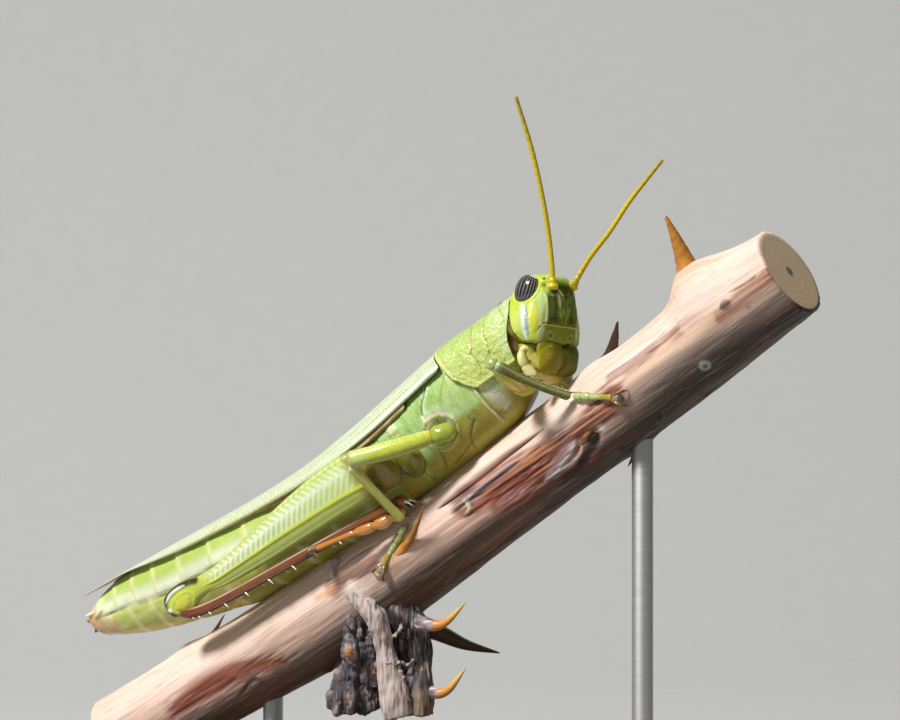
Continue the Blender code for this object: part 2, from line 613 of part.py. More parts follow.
def make_cane(body, world):
    rings = []
    for x in spread(CANE_AXIS[0][0], CANE_AXIS[-1][0], CANE_SECTIONS):
        rings.append([cane_point(x, 360 * (spoke + 0.5) / CANE_SPOKES) for spoke in range(CANE_SPOKES)])
    cane = node("perch_cane", loft(rings), body, CANE_MIDDLE, BARK, 0.6)
    bare_cane = cane.copy()
    bare_cane.name = "cane_core"
    bpy.context.scene.collection.objects.link(hidden(bare_cane))
    thorns = []
    for (x, angle), tip, thick in THORNS:
        thorns.append(horn(cane_point(x, angle, -THORN_ROOT_DEPTH), tip, thick, bow=THORN_BOW))
    unite(cane, joined(thorns), CANE_MIDDLE)
    ahead = Vector((1.0, 0.0, 0.0))
    route = (SHOOT_ROOT, SHOOT_ROOT.lerp(SHOOT_TIP, 0.5), SHOOT_TIP)
    shape = limb(route, SHOOT_HALF_THICK, SHOOT_SECTIONS, 10, ahead)
    shoot = node("perch_dead_shoot", shape, world, SHOOT_ROOT, BARK, 0.8)
    thorns = [horn(root, tip, SHOOT_THORN_HALF_THICK, bow=SHOOT_THORN_BOW) for root, tip in SHOOT_THORNS]
    unite(shoot, joined(thorns), SHOOT_ROOT)
    cut_clear(shoot, bare_cane)
    route = (BUD_ROOT, BUD_ROOT.lerp(BUD_TIP, 0.5), BUD_TIP)
    shape = limb(route, BUD_HALF_THICK, BUD_SECTIONS, 8, ahead)
    bud = node("perch_dead_bud", shape, world, BUD_ROOT, BARK, 0.85)
    cut_clear(bud, bare_cane, shoot)
    return bare_cane


def make_stand(body, cane):
    base = bmesh.new()
    bmesh.ops.create_cube(base, size=1, matrix=Matrix.Diagonal((BASE_LONG, BASE_WIDE, BASE_THICK, 1)))
    upright = [edge for edge in base.edges if abs(edge.verts[0].co.z - edge.verts[1].co.z) > 1]
    bmesh.ops.bevel(
        base, geom=upright, offset=BASE_CORNER, segments=BASE_CORNER_STEPS, affect="EDGES", profile=0.5
    )
    rim = [edge for edge in base.edges if all(vert.co.z > 0 for vert in edge.verts)]
    bmesh.ops.bevel(base, geom=rim, offset=BASE_EDGE, segments=BASE_EDGE_STEPS, affect="EDGES", profile=0.5)
    move = turned("Z", BODY_YAW) @ Matrix.Translation((0.0, 0.0, BASE_THICK / 2))
    bmesh.ops.transform(base, matrix=move, verts=base.verts)
    node("stand_base", base, None, (0.0, 0.0, 0.0), WALNUT, 0.4)
    bpy.context.view_layer.update()
    for number, x in enumerate(ROD_PLACES, 1):
        held = body.matrix_world @ (Vector((x, 0.0, smooth(CANE_AXIS, x))) * MM) / MM
        foot = Vector((held.x, held.y, BASE_THICK + GAP))
        shape = limb((foot, held), (ROD_HALF_THICK,) * 2, 2, ROD_SIDES, Vector((1.0, 0.0, 0.0)))
        rod = node(f"stand_rod_{number}", shape, None, foot, STEEL, 0.25, 1.0)
        cut_clear(rod, cane)


def build():
    for old in list(bpy.data.objects):
        bpy.data.objects.remove(old)
    world = empty("specimen", Vector((0.0, 0.0, LIFT)), Matrix())
    lie = turned("Y", BODY_PITCH) @ turned("Z", BODY_YAW) @ turned("X", BODY_ROLL)
    body = empty("body_axes", BODY_PLACE, lie, world)
    head = empty("head_axes", HEAD_PLACE, turned("Z", HEAD_YAW) @ turned("X", HEAD_ROLL), world)
    cane = make_cane(body, world)
    pronotum, thorax = make_trunk(body)
    skull = make_head(head)
    cut_clear(pronotum, skull)
    cut_clear(thorax, skull)
    make_wings(body)
    make_walking_legs(body, thorax, cane)
    make_jumping_legs(body, thorax, cane)
    make_stand(body, cane)


build()
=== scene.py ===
"""The looks of a green bird grasshopper on a thorny cane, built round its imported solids.

Each shape is modelled in millimetres along its own axes, which lie as the solids' do: x from tail to head,
y to the animal's left and z to its back. A shape starts as a dense grid that is wrapped into a closed skin.
Marks then raise its ridges, sink its seams and tint it, and a finish adds the grain that is finer than that.
"""

from __future__ import annotations

import itertools
import logging
import math
from dataclasses import dataclass, replace
from enum import Enum
from typing import Callable, Iterable, Sequence

import bpy
import numpy as np
from mathutils import Matrix, Vector

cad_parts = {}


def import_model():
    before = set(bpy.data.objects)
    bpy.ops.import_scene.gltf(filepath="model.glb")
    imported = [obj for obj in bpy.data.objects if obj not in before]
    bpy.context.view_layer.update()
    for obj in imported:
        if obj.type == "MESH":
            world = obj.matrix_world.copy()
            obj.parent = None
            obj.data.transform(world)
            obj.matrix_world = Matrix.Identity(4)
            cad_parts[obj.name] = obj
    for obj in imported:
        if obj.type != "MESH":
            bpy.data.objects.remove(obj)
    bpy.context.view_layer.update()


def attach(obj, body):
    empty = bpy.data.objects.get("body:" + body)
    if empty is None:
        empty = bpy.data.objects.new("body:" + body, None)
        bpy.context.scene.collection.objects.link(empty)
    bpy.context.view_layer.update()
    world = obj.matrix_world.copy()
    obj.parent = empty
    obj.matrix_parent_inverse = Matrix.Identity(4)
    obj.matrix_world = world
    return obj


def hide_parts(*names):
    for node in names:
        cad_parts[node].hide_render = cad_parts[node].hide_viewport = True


MM = 0.001
TAU = 2.0 * math.pi
WELD = 2e-6
SHARP = math.radians(35.0)
Point = tuple[float, float, float]
Route = Sequence[Sequence[float]]
Piece = bpy.types.Object
Finish = bpy.types.Material
Socket = bpy.types.NodeSocket
log = logging.getLogger("grasshopper")


class Tone(Enum):
    """The colours of the animal and its perch."""

    LEAF = (0.3, 0.47, 0.09)
    LIME = (0.52, 0.61, 0.22)
    GRASS = (0.41, 0.53, 0.065)
    LEMON = (0.66, 0.64, 0.05)
    YELLOW = (0.62, 0.46, 0.015)
    PALE_GREEN = (0.56, 0.68, 0.33)
    CREAM = (0.8, 0.78, 0.45)
    BUTTER = (0.72, 0.62, 0.16)
    ROSE = (0.8, 0.6, 0.5)
    WHITE = (0.86, 0.88, 0.78)
    SEA = (0.42, 0.6, 0.26)
    TEAL = (0.08, 0.24, 0.27)
    MOSS = (0.046, 0.075, 0.002)
    OLIVE = (0.26, 0.26, 0.025)
    # Olive-brown of the underside, set darker than its own colour so that it also holds painted shade.
    BELLY = (0.34, 0.28, 0.03)
    MEMBRANE = (0.52, 0.5, 0.38)
    RUST = (0.22, 0.1, 0.015)
    UMBER = (0.045, 0.022, 0.008)
    TAN = (0.5, 0.33, 0.17)
    AMBER = (0.62, 0.26, 0.05)
    MAROON = (0.17, 0.022, 0.012)
    SILVER = (0.62, 0.52, 0.48)
    BLACK = (0.012, 0.011, 0.012)
    EYE = (0.02, 0.015, 0.018)
    SAND = (0.36, 0.35, 0.31)
    STRAW = (0.46, 0.51, 0.31)
    BARK = (0.66, 0.42, 0.31)
    GREY_BARK = (0.25, 0.19, 0.17)
    BRICK = (0.25, 0.065, 0.03)
    SLATE = (0.06, 0.06, 0.07)
    WOOD = (0.62, 0.46, 0.28)
    THORN = (0.62, 0.24, 0.04)
    LILAC = (0.52, 0.42, 0.46)


class Slot(Enum):
    """The material slots."""

    GREEN = "green_shell"
    PALE = "pale_shell"
    YELLOW = "yellow_shell"
    EYE = "eye"
    WING_COVER = "wing_cover"
    HINDWING = "hindwing"
    SHIN = "maroon_shin"
    FOOT = "amber_foot"
    CANE = "cane_bark"
    DEAD = "dead_bark"
    WALNUT = "walnut"
    STEEL = "steel_rod"


class Side(Enum):
    """The animal's sides, by the sign of y."""

    RIGHT = -1
    LEFT = 1

    @property
    def word(self) -> str:
        """The side's name in lower case."""
        return self.name.lower()

    def of(self, points: Route) -> np.ndarray:
        """Points of the right side, or the same mirrored to the left."""
        return np.asarray(points, float) * (1.0, -self.value, 1.0)


@dataclass(frozen=True)
class Axes:
    """Axes that pieces are modelled along: their origin in millimetres and how they are turned."""

    place: Point
    turns: tuple[tuple[str, float], ...] = ()

    def matrix(self) -> Matrix:
        """The matrix from these axes' millimetres to the world's.

        Returns:
            The matrix, which moves and then turns.
        """
        made = Matrix.Translation(Vector(self.place))
        for axis, degrees in self.turns:
            made = made @ Matrix.Rotation(math.radians(degrees), 4, axis)
        return made

    def world(self, points: np.ndarray) -> np.ndarray:
        """Points in the world's metres.

        Args:
            points: Points in these axes' millimetres, with x, y and z last.

        Returns:
            An array of the same shape.
        """
        matrix = np.array(self.matrix())
        return (points @ matrix[:3, :3].T + matrix[:3, 3]) * MM


LIFT = 3.0
BODY = Axes((-1.05, 0.0, 44.2 + LIFT), (("Y", -36.0), ("Z", -28.0), ("X", -6.0)))
HEAD = Axes((9.4, -7.4, 53.1 + LIFT), (("Z", -44.0), ("X", -5.0)))
WORLD = Axes((0.0, 0.0, LIFT))


def smooth(stations: Route, places: np.ndarray | float) -> np.ndarray:
    """Reads smooth curves through stations.

    Args:
        stations: Rows of a place and its values, by rising place.
        places: Where to read them.

    Returns:
        The values, in a last axis of their own, or without that axis for a single value.
    """
    table = np.asarray(stations, float)
    at, last = table[:, 0], len(table) - 1
    low, high = np.maximum(np.arange(last + 1) - 1, 0), np.minimum(np.arange(last + 1) + 1, last)
    slopes = (table[high, 1:] - table[low, 1:]) / (at[high] - at[low])[:, None]
    places = np.asarray(places, float)
    near = np.clip(np.searchsorted(at, places, side="right") - 1, 0, last - 1)
    span = (at[near + 1] - at[near])[..., None]
    t = np.clip((places - at[near])[..., None] / span, 0.0, 1.0)
    values = (
        (2 * t**3 - 3 * t**2 + 1) * table[near, 1:]
        + (t**3 - 2 * t**2 + t) * slopes[near] * span
        + (3 * t**2 - 2 * t**3) * table[near + 1, 1:]
        + (t**3 - t**2) * slopes[near + 1] * span
    )
    return values if values.shape[-1] > 1 else values[..., 0]


def numbered(points: Route) -> list[list[float]]:
    """The points as stations that are one apart."""
    return [[index, *np.atleast_1d(point)] for index, point in enumerate(points)]


def ease(values: np.ndarray, low: float, high: float) -> np.ndarray:
    """A soft step, from 0 at or below low to 1 at or above high."""
    t = np.clip((values - low) / (high - low), 0.0, 1.0)
    return t * t * (3.0 - 2.0 * t)


def bell(values: np.ndarray, middle: np.ndarray | float, width: float, power: int = 2) -> np.ndarray:
    """A soft hump, 1 at its middle and flatter at a higher power."""
    return np.exp(-(((values - middle) / width) ** power))


def unit(vector: np.ndarray) -> np.ndarray:
    """The vector at length 1."""
    return vector / np.linalg.norm(vector)


def cloud(points: np.ndarray, size: float | Point, seed: int = 0) -> np.ndarray:
    """Soft random values.

    Args:
        points: Where to read them, with x, y and z last.
        size: The size of a lump, or one for each axis.
        seed: Which pattern.

    Returns:
        Values from -1 to 1.
    """
    scaled = points / np.asarray(size, float) + 500.0 + 37.0 * seed
    cell = np.floor(scaled).astype(np.int64)
    part = scaled - cell
    part = part * part * (3.0 - 2.0 * part)
    total = np.zeros(points.shape[:-1])
    for corner in itertools.product((0, 1), repeat=3):
        at = cell + corner
        mixed = (at[..., 0] * 73856093) ^ (at[..., 1] * 19349663) ^ (at[..., 2] * 83492791)
        mixed = ((mixed ^ (mixed >> 13)) * 1274126177) & 0x7FFFFFFF
        value = ((mixed >> 8) % 4096) / 2047.5 - 1.0
        total += value * np.prod(np.where(corner, part, 1.0 - part), axis=-1)
    return total


def nearest(points: np.ndarray, route: Route) -> tuple[np.ndarray, np.ndarray]:
    """Finds how points lie to a smooth line.

    Args:
        points: The points, one to a row.
        route: Points that the line runs through, or a single one.

    Returns:
        Each point's distance from the line, and the share of the line at which it is nearest.
    """
    if len(route) == 1:
        return np.linalg.norm(points - np.asarray(route[0]), axis=1), np.full(len(points), 0.5)
    steps = 1 if len(route) == 2 else 5
    line = smooth(numbered(route), np.linspace(0, len(route) - 1, steps * (len(route) - 1) + 1))
    best, share = np.full(len(points), np.inf), np.zeros(len(points))
    for index, (start, end) in enumerate(zip(line, line[1:])):
        step = end - start
        t = np.clip((points - start) @ step / (step @ step), 0.0, 1.0)
        gap = np.linalg.norm(points - start - t[:, None] * step, axis=1)
        share = np.where(gap < best, (index + t) / (len(line) - 1), share)
        best = np.minimum(best, gap)
    return best, share


@dataclass(frozen=True)
class Mark:
    """A line or a spot on a skin: where it runs, its half width, how far it stands up and its colour."""

    route: Route
    width: float
    relief: float = 0.0
    tone: Tone | None = None
    strength: float = 1.0
    crisp: float = 2.0
    fine_ends: bool = True

    def weights(self, places: np.ndarray) -> tuple[np.ndarray, np.ndarray]:
        """Finds where the mark shows.

        Args:
            places: The skin's points, one to a row.

        Returns:
            The rows that it reaches, and its weight there.
        """
        reach = 2.6 * self.width
        low, high = np.min(self.route, axis=0) - reach, np.max(self.route, axis=0) + reach
        rows = np.flatnonzero(np.all((places > low) & (places < high), axis=1))
        gap, share = nearest(places[rows], self.route)
        width = self.width
        if self.fine_ends and len(self.route) > 1:
            width = width * np.clip(5.0 * share * (1.0 - share), 0.08, 1.0) ** 0.5
        return rows, np.exp(-((gap / width) ** self.crisp))


def right_half(points: np.ndarray, middle: np.ndarray | float = 0.0) -> np.ndarray:
    """The points, or their mirrored places where they lie left of the middle plane's y.

    Args:
        points: The points.
        middle: The y of the middle plane, for all or for each.

    Returns:
        The folded points.
    """
    folded = points.copy()
    folded[..., 1] = middle - np.abs(points[..., 1] - middle)
    return folded


def ring(centre: Point, across: Point, up: Point) -> list[np.ndarray]:
    """A closed loop of points round a centre, through centre + across and centre + up."""
    centre, across, up = (np.asarray(item, float) for item in (centre, across, up))
    return [centre + across * math.cos(turn) + up * math.sin(turn) for turn in np.linspace(0, TAU, 13)]


class Skin:
    """A closed surface in the making: a grid of points in millimetres, with a colour at each.

    Rows run along the shape and columns round it, and the last column repeats the first.
    """

    def __init__(self, points: np.ndarray, tone: Tone) -> None:
        """Starts a skin in one colour.

        Args:
            points: The grid, as rows, columns and x, y, z.
            tone: Its first colour.
        """
        self.points = points
        self.tint = np.broadcast_to(np.array(tone.value), points.shape).copy()

    @property
    def share(self) -> np.ndarray:
        """The share along the skin at each row."""
        return np.linspace(0.0, 1.0, len(self.points))[:, None]

    @property
    def turn(self) -> np.ndarray:
        """The angle round the skin at each column."""
        return np.linspace(0.0, TAU, self.points.shape[1])[None, :]

    @property
    def xyz(self) -> np.ndarray:
        """The three coordinates, each as a grid."""
        return np.moveaxis(self.points, 2, 0)

    def normals(self) -> np.ndarray:
        """Finds which way the skin faces.

        Returns:
            A unit direction out of the skin at each point, or zero where a cap closes.
        """
        inner = self.points[:, :-1]
        around = np.roll(inner, -1, axis=1) - np.roll(inner, 1, axis=1)
        around = np.concatenate([around, around[:, :1]], axis=1)
        along = np.gradient(self.points, axis=0)
        normal = np.cross(around, along)
        length = np.linalg.norm(normal, axis=2, keepdims=True)
        middle = len(self.points) // 2
        loop = self.points[middle]
        area = np.cross(loop[:-1] - loop.mean(axis=0), loop[1:] - loop.mean(axis=0)).sum(axis=0)
        sign = np.sign(area @ along[middle].mean(axis=0))
        return sign * normal / np.maximum(length, 1e-9) * (length > 1e-7)

    def swell(self, heights: np.ndarray) -> Skin:
        """Moves each point out by its height, and returns the skin.

        Args:
            heights: The heights in millimetres.

        Returns:
            The skin.
        """
        self.points = self.points + self.normals() * heights[..., None]
        return self

    def paint(self, tone: Tone, weight: np.ndarray | float) -> Skin:
        """Blends a colour in by its weight at each point, and returns the skin.

        Args:
            tone: The colour.
            weight: Its weight, which is cut off at 0 and 1.

        Returns:
            The skin.
        """
        weight = np.broadcast_to(np.clip(weight, 0.0, 1.0), self.tint.shape[:2])[..., None]
        self.tint += (np.array(tone.value) - self.tint) * weight
        return self

    def mark(self, marks: Iterable[Mark], fold: Callable[[np.ndarray], np.ndarray] | None = None) -> Skin:
        """Adds marks in their order.

        Args:
            marks: The marks.
            fold: Says where the marks are read for each point, such as at its mirrored place.

        Returns:
            The skin.
        """
        places = (self.points if fold is None else fold(self.points)).reshape(-1, 3)
        heights, tint = np.zeros(len(places)), self.tint.reshape(-1, 3)
        for mark in marks:
            rows, weight = mark.weights(places)
            heights[rows] += mark.relief * weight
            if mark.tone is not None:
                share = (mark.strength * weight)[:, None]
                tint[rows] += (np.array(mark.tone.value) - tint[rows]) * share
        self.tint = tint.reshape(self.points.shape)
        return self.swell(heights.reshape(self.points.shape[:2]))

    def mark_sides(self, marks: Iterable[Mark]) -> Skin:
        """Adds marks to both sides by their x and z alone, and returns the skin."""
        pressed = [replace(mark, route=np.asarray(mark.route, float) * (1.0, 0.0, 1.0)) for mark in marks]
        return self.mark(pressed, lambda points: points * (1.0, 0.0, 1.0))

    def piece(self, name: str, axes: Axes) -> Piece:
        """Makes the skin an object, from a grid that is wrapped round and welded.

        Args:
            name: The object's name.
            axes: The axes that the skin was modelled along.

        Returns:
            The object, at the origin, with its colours in the attribute Tint.
        """
        rows, columns = self.points.shape[:2]
        bpy.ops.object.select_all(action="DESELECT")
        bpy.ops.mesh.primitive_grid_add(x_subdivisions=columns - 1, y_subdivisions=rows - 1, calc_uvs=False)
        made = bpy.context.object
        made.name = made.data.name = name
        made.data.vertices.foreach_set("co", axes.world(self.points).astype(np.float32).ravel())
        tint = made.data.color_attributes.new("Tint", "FLOAT_COLOR", "POINT")
        colours = np.concatenate([self.tint, np.ones((rows, columns, 1))], axis=2)
        tint.data.foreach_set("color", colours.astype(np.float32).ravel())
        made.data.update()
        bpy.ops.object.mode_set(mode="EDIT")
        bpy.ops.mesh.select_all(action="SELECT")
        bpy.ops.mesh.remove_doubles(threshold=WELD)
        bpy.ops.mesh.normals_make_consistent(inside=False)
        bpy.ops.object.mode_set(mode="OBJECT")
        bpy.ops.object.shade_smooth()
        return made


def joined(name: str, pieces: Sequence[Piece]) -> Piece:
    """Joins objects into one mesh.

    Args:
        name: The name of the result.
        pieces: The objects, which are used up.

    Returns:
        The object.
    """
    bpy.ops.object.select_all(action="DESELECT")
    for piece in pieces:
        piece.select_set(True)
    bpy.context.view_layer.objects.active = pieces[0]
    bpy.ops.object.join()
    pieces[0].name = pieces[0].data.name = name
    return pieces[0]


def shown(piece: Piece, finish: Finish, slot: Slot, nodes: Sequence[str] = ()) -> None:
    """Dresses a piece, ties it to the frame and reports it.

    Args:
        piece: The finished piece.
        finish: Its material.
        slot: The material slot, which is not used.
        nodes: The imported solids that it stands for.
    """
    piece.data.materials.clear()
    piece.data.materials.append(finish)
    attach(piece, "root")
    if nodes:
        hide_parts(*nodes)
    log.info("%s: %d faces for %s", piece.name, len(piece.data.polygons), ", ".join(nodes) or "no solid")


def open_edges() -> None:
    """Readies the active piece to be edited by its edges, with none picked."""
    bpy.ops.object.mode_set(mode="EDIT")
    bpy.ops.mesh.select_mode(type="EDGE")
    bpy.ops.mesh.select_all(action="DESELECT")
    bpy.ops.object.mode_set(mode="OBJECT")


def pick_edges(piece: Piece, wanted: Callable[[list[Vector]], bool]) -> None:
    """Opens a piece for editing with some of its edges picked.

    Args:
        piece: The piece, which is the active object.
        wanted: Says by the places of an edge's two ends whether it is picked.
    """
    for edge in piece.data.edges:
        edge.select = wanted([piece.data.vertices[index].co for index in edge.vertices])
    bpy.ops.object.mode_set(mode="EDIT")


def bend(piece: Piece, wanted: Callable[[list[Vector]], bool], radius: float, segments: int) -> None:
    """Rounds some of a piece's edges.

    Args:
        piece: The piece, which is the active object.
        wanted: Says by the places of an edge's two ends whether it is rounded.
        radius: How wide the round is, in metres.
        segments: Its steps.
    """
    pick_edges(piece, wanted)
    bpy.ops.mesh.bevel(offset=radius, segments=segments, profile=0.5)
    bpy.ops.object.mode_set(mode="OBJECT")


def lengthwise(rows: int, blunt: float = 0.0, cap: int = 7) -> tuple[np.ndarray, np.ndarray]:
    """Spreads rows along a shape and closes both its ends.

    Args:
        rows: How many rows lie between the caps.
        blunt: The share of the length that each rounded cap takes, or 0 for flat ends.
        cap: How many rows each cap has.

    Returns:
        The share of the length at each row, and the section's size there.
    """
    turn = np.linspace(0.0, math.pi / 2, cap)
    body = np.linspace(blunt, 1.0 - blunt, rows)
    ends = blunt * (1.0 - np.cos(turn))
    size = np.sin(turn) if blunt else np.linspace(0.0, 1.0, cap)
    share = np.concatenate([ends, body[1:-1], 1.0 - ends[::-1]])
    return share, np.concatenate([size, np.ones(rows - 2), size[::-1]])


def rounded(values: np.ndarray, power: float) -> np.ndarray:
    """The values raised to a power, with their signs kept."""
    return np.sign(values) * np.abs(values) ** power


def oval(columns: int, squareness: float = 2.0) -> tuple[np.ndarray, np.ndarray]:
    """A unit oval.

    Args:
        columns: Points round it, without the one that closes it.
        squareness: 2 for a circle, and squarer above that.

    Returns:
        The two coordinates round it.
    """
    turn = np.linspace(0.0, TAU, columns + 1)
    across, up = rounded(np.cos(turn), 2.0 / squareness), rounded(np.sin(turn), 2.0 / squareness)
    across[-1], up[-1] = across[0], up[0]
    return across, up


def trunk(
    stations: Route, start: float, end: float, rows: int, columns: int, squareness: float, blunt: float = 0.0
) -> np.ndarray:
    """A body length along x.

    Args:
        stations: Place, top, underside and half width of its sections.
        start: Where it starts.
        end: Where it ends.
        rows: Rows along it.
        columns: Columns round it.
        squareness: How square its sections are.
        blunt: The share of its length that each rounded end takes.

    Returns:
        The grid of points.
    """
    share, size = lengthwise(rows, blunt)
    x = start + (end - start) * share
    top, under, half_width = smooth(stations, x).T[:, :, None]
    across, up = oval(columns, squareness)
    size = size[:, None]
    y = half_width * size * across
    z = (top + under) / 2 + (top - under) / 2 * size * up
    return np.stack([np.broadcast_to(x[:, None], y.shape), y, z], axis=2)


def stack(stations: Route, rows: int, columns: int, blunt: float, squareness: float = 2.6) -> np.ndarray:
    """A piece of the head, whose sections lie one below the other.

    Args:
        stations: Height, back, front and half width of its sections, from the top down.
        rows: Rows down it.
        columns: Columns round it.
        blunt: The share of its height that each rounded end takes.
        squareness: How square its sections are.

    Returns:
        The grid of points.
    """
    share, size = lengthwise(rows, blunt, 16)
    top, bottom = stations[0][0], stations[-1][0]
    z = top + (bottom - top) * share
    back, front, half_width = smooth(stations[::-1], z).T[:, :, None]
    along, across = oval(columns, squareness)
    size = size[:, None]
    x = (front + back) / 2 + (front - back) / 2 * size * along
    return np.stack([x, half_width * size * across, np.broadcast_to(z[:, None], x.shape)], axis=2)


def tube(
    route: Route,
    sizes: Sequence[float],
    rows: int = 40,
    columns: int = 24,
    up: Point = (0.0, 0.0, 1.0),
    blunt: float = 0.04,
    form: Callable[[np.ndarray, np.ndarray], np.ndarray] | None = None,
) -> np.ndarray:
    """A limb along a smooth curve.

    Args:
        route: Points that its middle runs through.
        sizes: Its half thickness at even steps along it.
        rows: Rows along it.
        columns: Columns round it.
        up: The direction of the section's top.
        blunt: The share of its length that each rounded end takes.
        form: Scales the half thickness by share along and angle round.

    Returns:
        The grid of points.
    """
    share, size = lengthwise(rows, blunt)
    stations, last = numbered(route), len(route) - 1
    here = smooth(stations, share * last)
    ahead = smooth(stations, np.minimum(share * last + 0.05, last))
    behind = smooth(stations, np.maximum(share * last - 0.05, 0.0))
    heading = (ahead - behind) / np.linalg.norm(ahead - behind, axis=1, keepdims=True)
    side = np.cross(heading, up)
    side /= np.linalg.norm(side, axis=1, keepdims=True)
    above = np.cross(side, heading)
    turn = np.linspace(0.0, TAU, columns + 1)
    reach = (size * smooth(numbered(sizes), share * (len(sizes) - 1)))[:, None]
    if form is not None:
        reach = reach * form(share[:, None], turn[None, :])
    wide, tall = (reach * np.cos(turn))[..., None], (reach * np.sin(turn))[..., None]
    points = here[:, None] + side[:, None] * wide + above[:, None] * tall
    points[:, -1] = points[:, 0]
    return points


def spike(
    root: Sequence[float], tip: Sequence[float], half_thick: float, bow: float = 0.0, rows: int = 14,
    columns: int = 10,
) -> np.ndarray:
    """A thorn or spine that is drawn to a point, bowed by a share of its length.

    Args:
        root: Where it stands.
        tip: Its point.
        half_thick: Its half thickness near the root.
        bow: How far it bows down, as a share of its length.
        rows: Rows along it.
        columns: Columns round it.

    Returns:
        The grid of points.
    """
    root, tip = np.asarray(root, float), np.asarray(tip, float)
    middle = (root + tip) / 2 - np.array((0.0, 0.0, bow)) * np.linalg.norm(tip - root)
    sizes = [half_thick * share for share in (1.2, 0.62, 0.41, 0.25, 0.07)]
    return tube((root, middle, tip), sizes, rows=rows, columns=columns, up=(0.31, 0.9, 0.3), blunt=0.03)


class Tree:
    """A material's nodes, added and joined by short calls."""

    def __init__(self, name: str) -> None:
        """Starts a material with a plain shader.

        Args:
            name: The material's name.
        """
        self.material = bpy.data.materials.new(name)
        self.material.use_nodes = True
        self.nodes = self.material.node_tree.nodes
        self.surface = self.nodes["Principled BSDF"]

    def link(self, source: Socket, target: Socket) -> None:
        """Joins an output to an input."""
        self.material.node_tree.links.new(source, target)

    def drive(self, name: str, source: Socket) -> None:
        """Joins an output to one of the shader's inputs."""
        self.link(source, self.surface.inputs[name])

    def add(self, kind: str, inputs: dict[str | int, object], **settings: object) -> bpy.types.Node:
        """Adds a node.

        Args:
            kind: The node's type, without its common prefix.
            inputs: A value or another node's output for each named or numbered input.
            settings: The node's own settings.

        Returns:
            The node.
        """
        node = self.nodes.new(f"ShaderNode{kind}")
        for name, value in settings.items():
            setattr(node, name, value)
        for name, value in inputs.items():
            if isinstance(value, Socket):
                self.link(value, node.inputs[name])
            else:
                node.inputs[name].default_value = value
        return node

    def painted(self) -> Socket:
        """The colour that the piece was painted in."""
        return self.add("Attribute", {}, attribute_name="Tint").outputs["Color"]

    def along(self, axes: Axes, size: Point) -> Socket:
        """Coordinates along a piece's axes.

        Args:
            axes: The axes.
            size: A step along each, in millimetres.

        Returns:
            The coordinates, counted in steps.
        """
        matrix = axes.matrix()
        place = {"Vector": self.add("TexCoord", {}).outputs["Object"], "Location": matrix.translation * MM}
        place |= {"Rotation": matrix.to_euler(), "Scale": Vector(size) * MM}
        return self.add("Mapping", place, vector_type="TEXTURE").outputs[0]

    def noise(self, vector: Socket, detail: float = 3.0, twist: float = 0.0) -> Socket:
        """Cloudy values round a half, with lumps one step long."""
        inputs = {"Vector": vector, "Scale": 1.0, "Detail": detail, "Distortion": twist}
        return self.add("TexNoise", inputs).outputs[0]

    def cells(self, vector: Socket) -> Socket:
        """The distance to the nearest of many scattered points, one to a step."""
        return self.add("TexVoronoi", {"Vector": vector, "Scale": 1.0}).outputs["Distance"]

    def step(self, value: Socket, low: float, high: float, top: float = 1.0) -> Socket:
        """A soft step of a value, from 0 at low to top at high."""
        inputs = {"Value": value, "From Min": low, "From Max": high, "To Max": top}
        return self.add("MapRange", inputs, interpolation_type="SMOOTHSTEP").outputs[0]

    def math(self, what: str, first: object, second: object) -> Socket:
        """A sum, product or other operation of two numbers."""
        return self.add("Math", {0: first, 1: second}, operation=what).outputs[0]

    def blend(self, factor: object, low: object, high: object) -> Socket:
        """Blends two colours.

        Args:
            factor: The second colour's share.
            low: The first colour, as a node's output or three values.
            high: The second colour.

        Returns:
            The blended colour.
        """
        colours = [(*colour, 1.0) if isinstance(colour, tuple) else colour for colour in (low, high)]
        return self.add("Mix", {0: factor, 6: colours[0], 7: colours[1]}, data_type="RGBA").outputs[2]

    def bump(self, height: Socket, depth: float, under: object = None) -> Socket:
        """A bumped normal, depth millimetres deep, on top of another.

        Args:
            height: The heights.
            depth: Their depth in millimetres.
            under: The normal below, if there is one.

        Returns:
            The normal.
        """
        inputs = {"Height": height, "Distance": depth * MM, "Strength": 1.0}
        if under is not None:
            inputs["Normal"] = under
        return self.add("Bump", inputs).outputs[0]

    def finish(
        self, roughness: float, coat: float = 0.0, metallic: float = 0.0, shine: float = 0.3
    ) -> Finish:
        """Sets the shader's even values and gives the material.

        Args:
            roughness: How rough it is.
            coat: How strong its clear coat is.
            metallic: 1 for a metal.
            shine: How strongly it reflects head on.

        Returns:
            The material.
        """
        self.surface.inputs["Roughness"].default_value = roughness
        self.surface.inputs["Metallic"].default_value = metallic
        self.surface.inputs["Specular IOR Level"].default_value = shine
        self.surface.inputs["Coat Weight"].default_value = coat
        self.surface.inputs["Coat Roughness"].default_value = 0.12
        return self.material


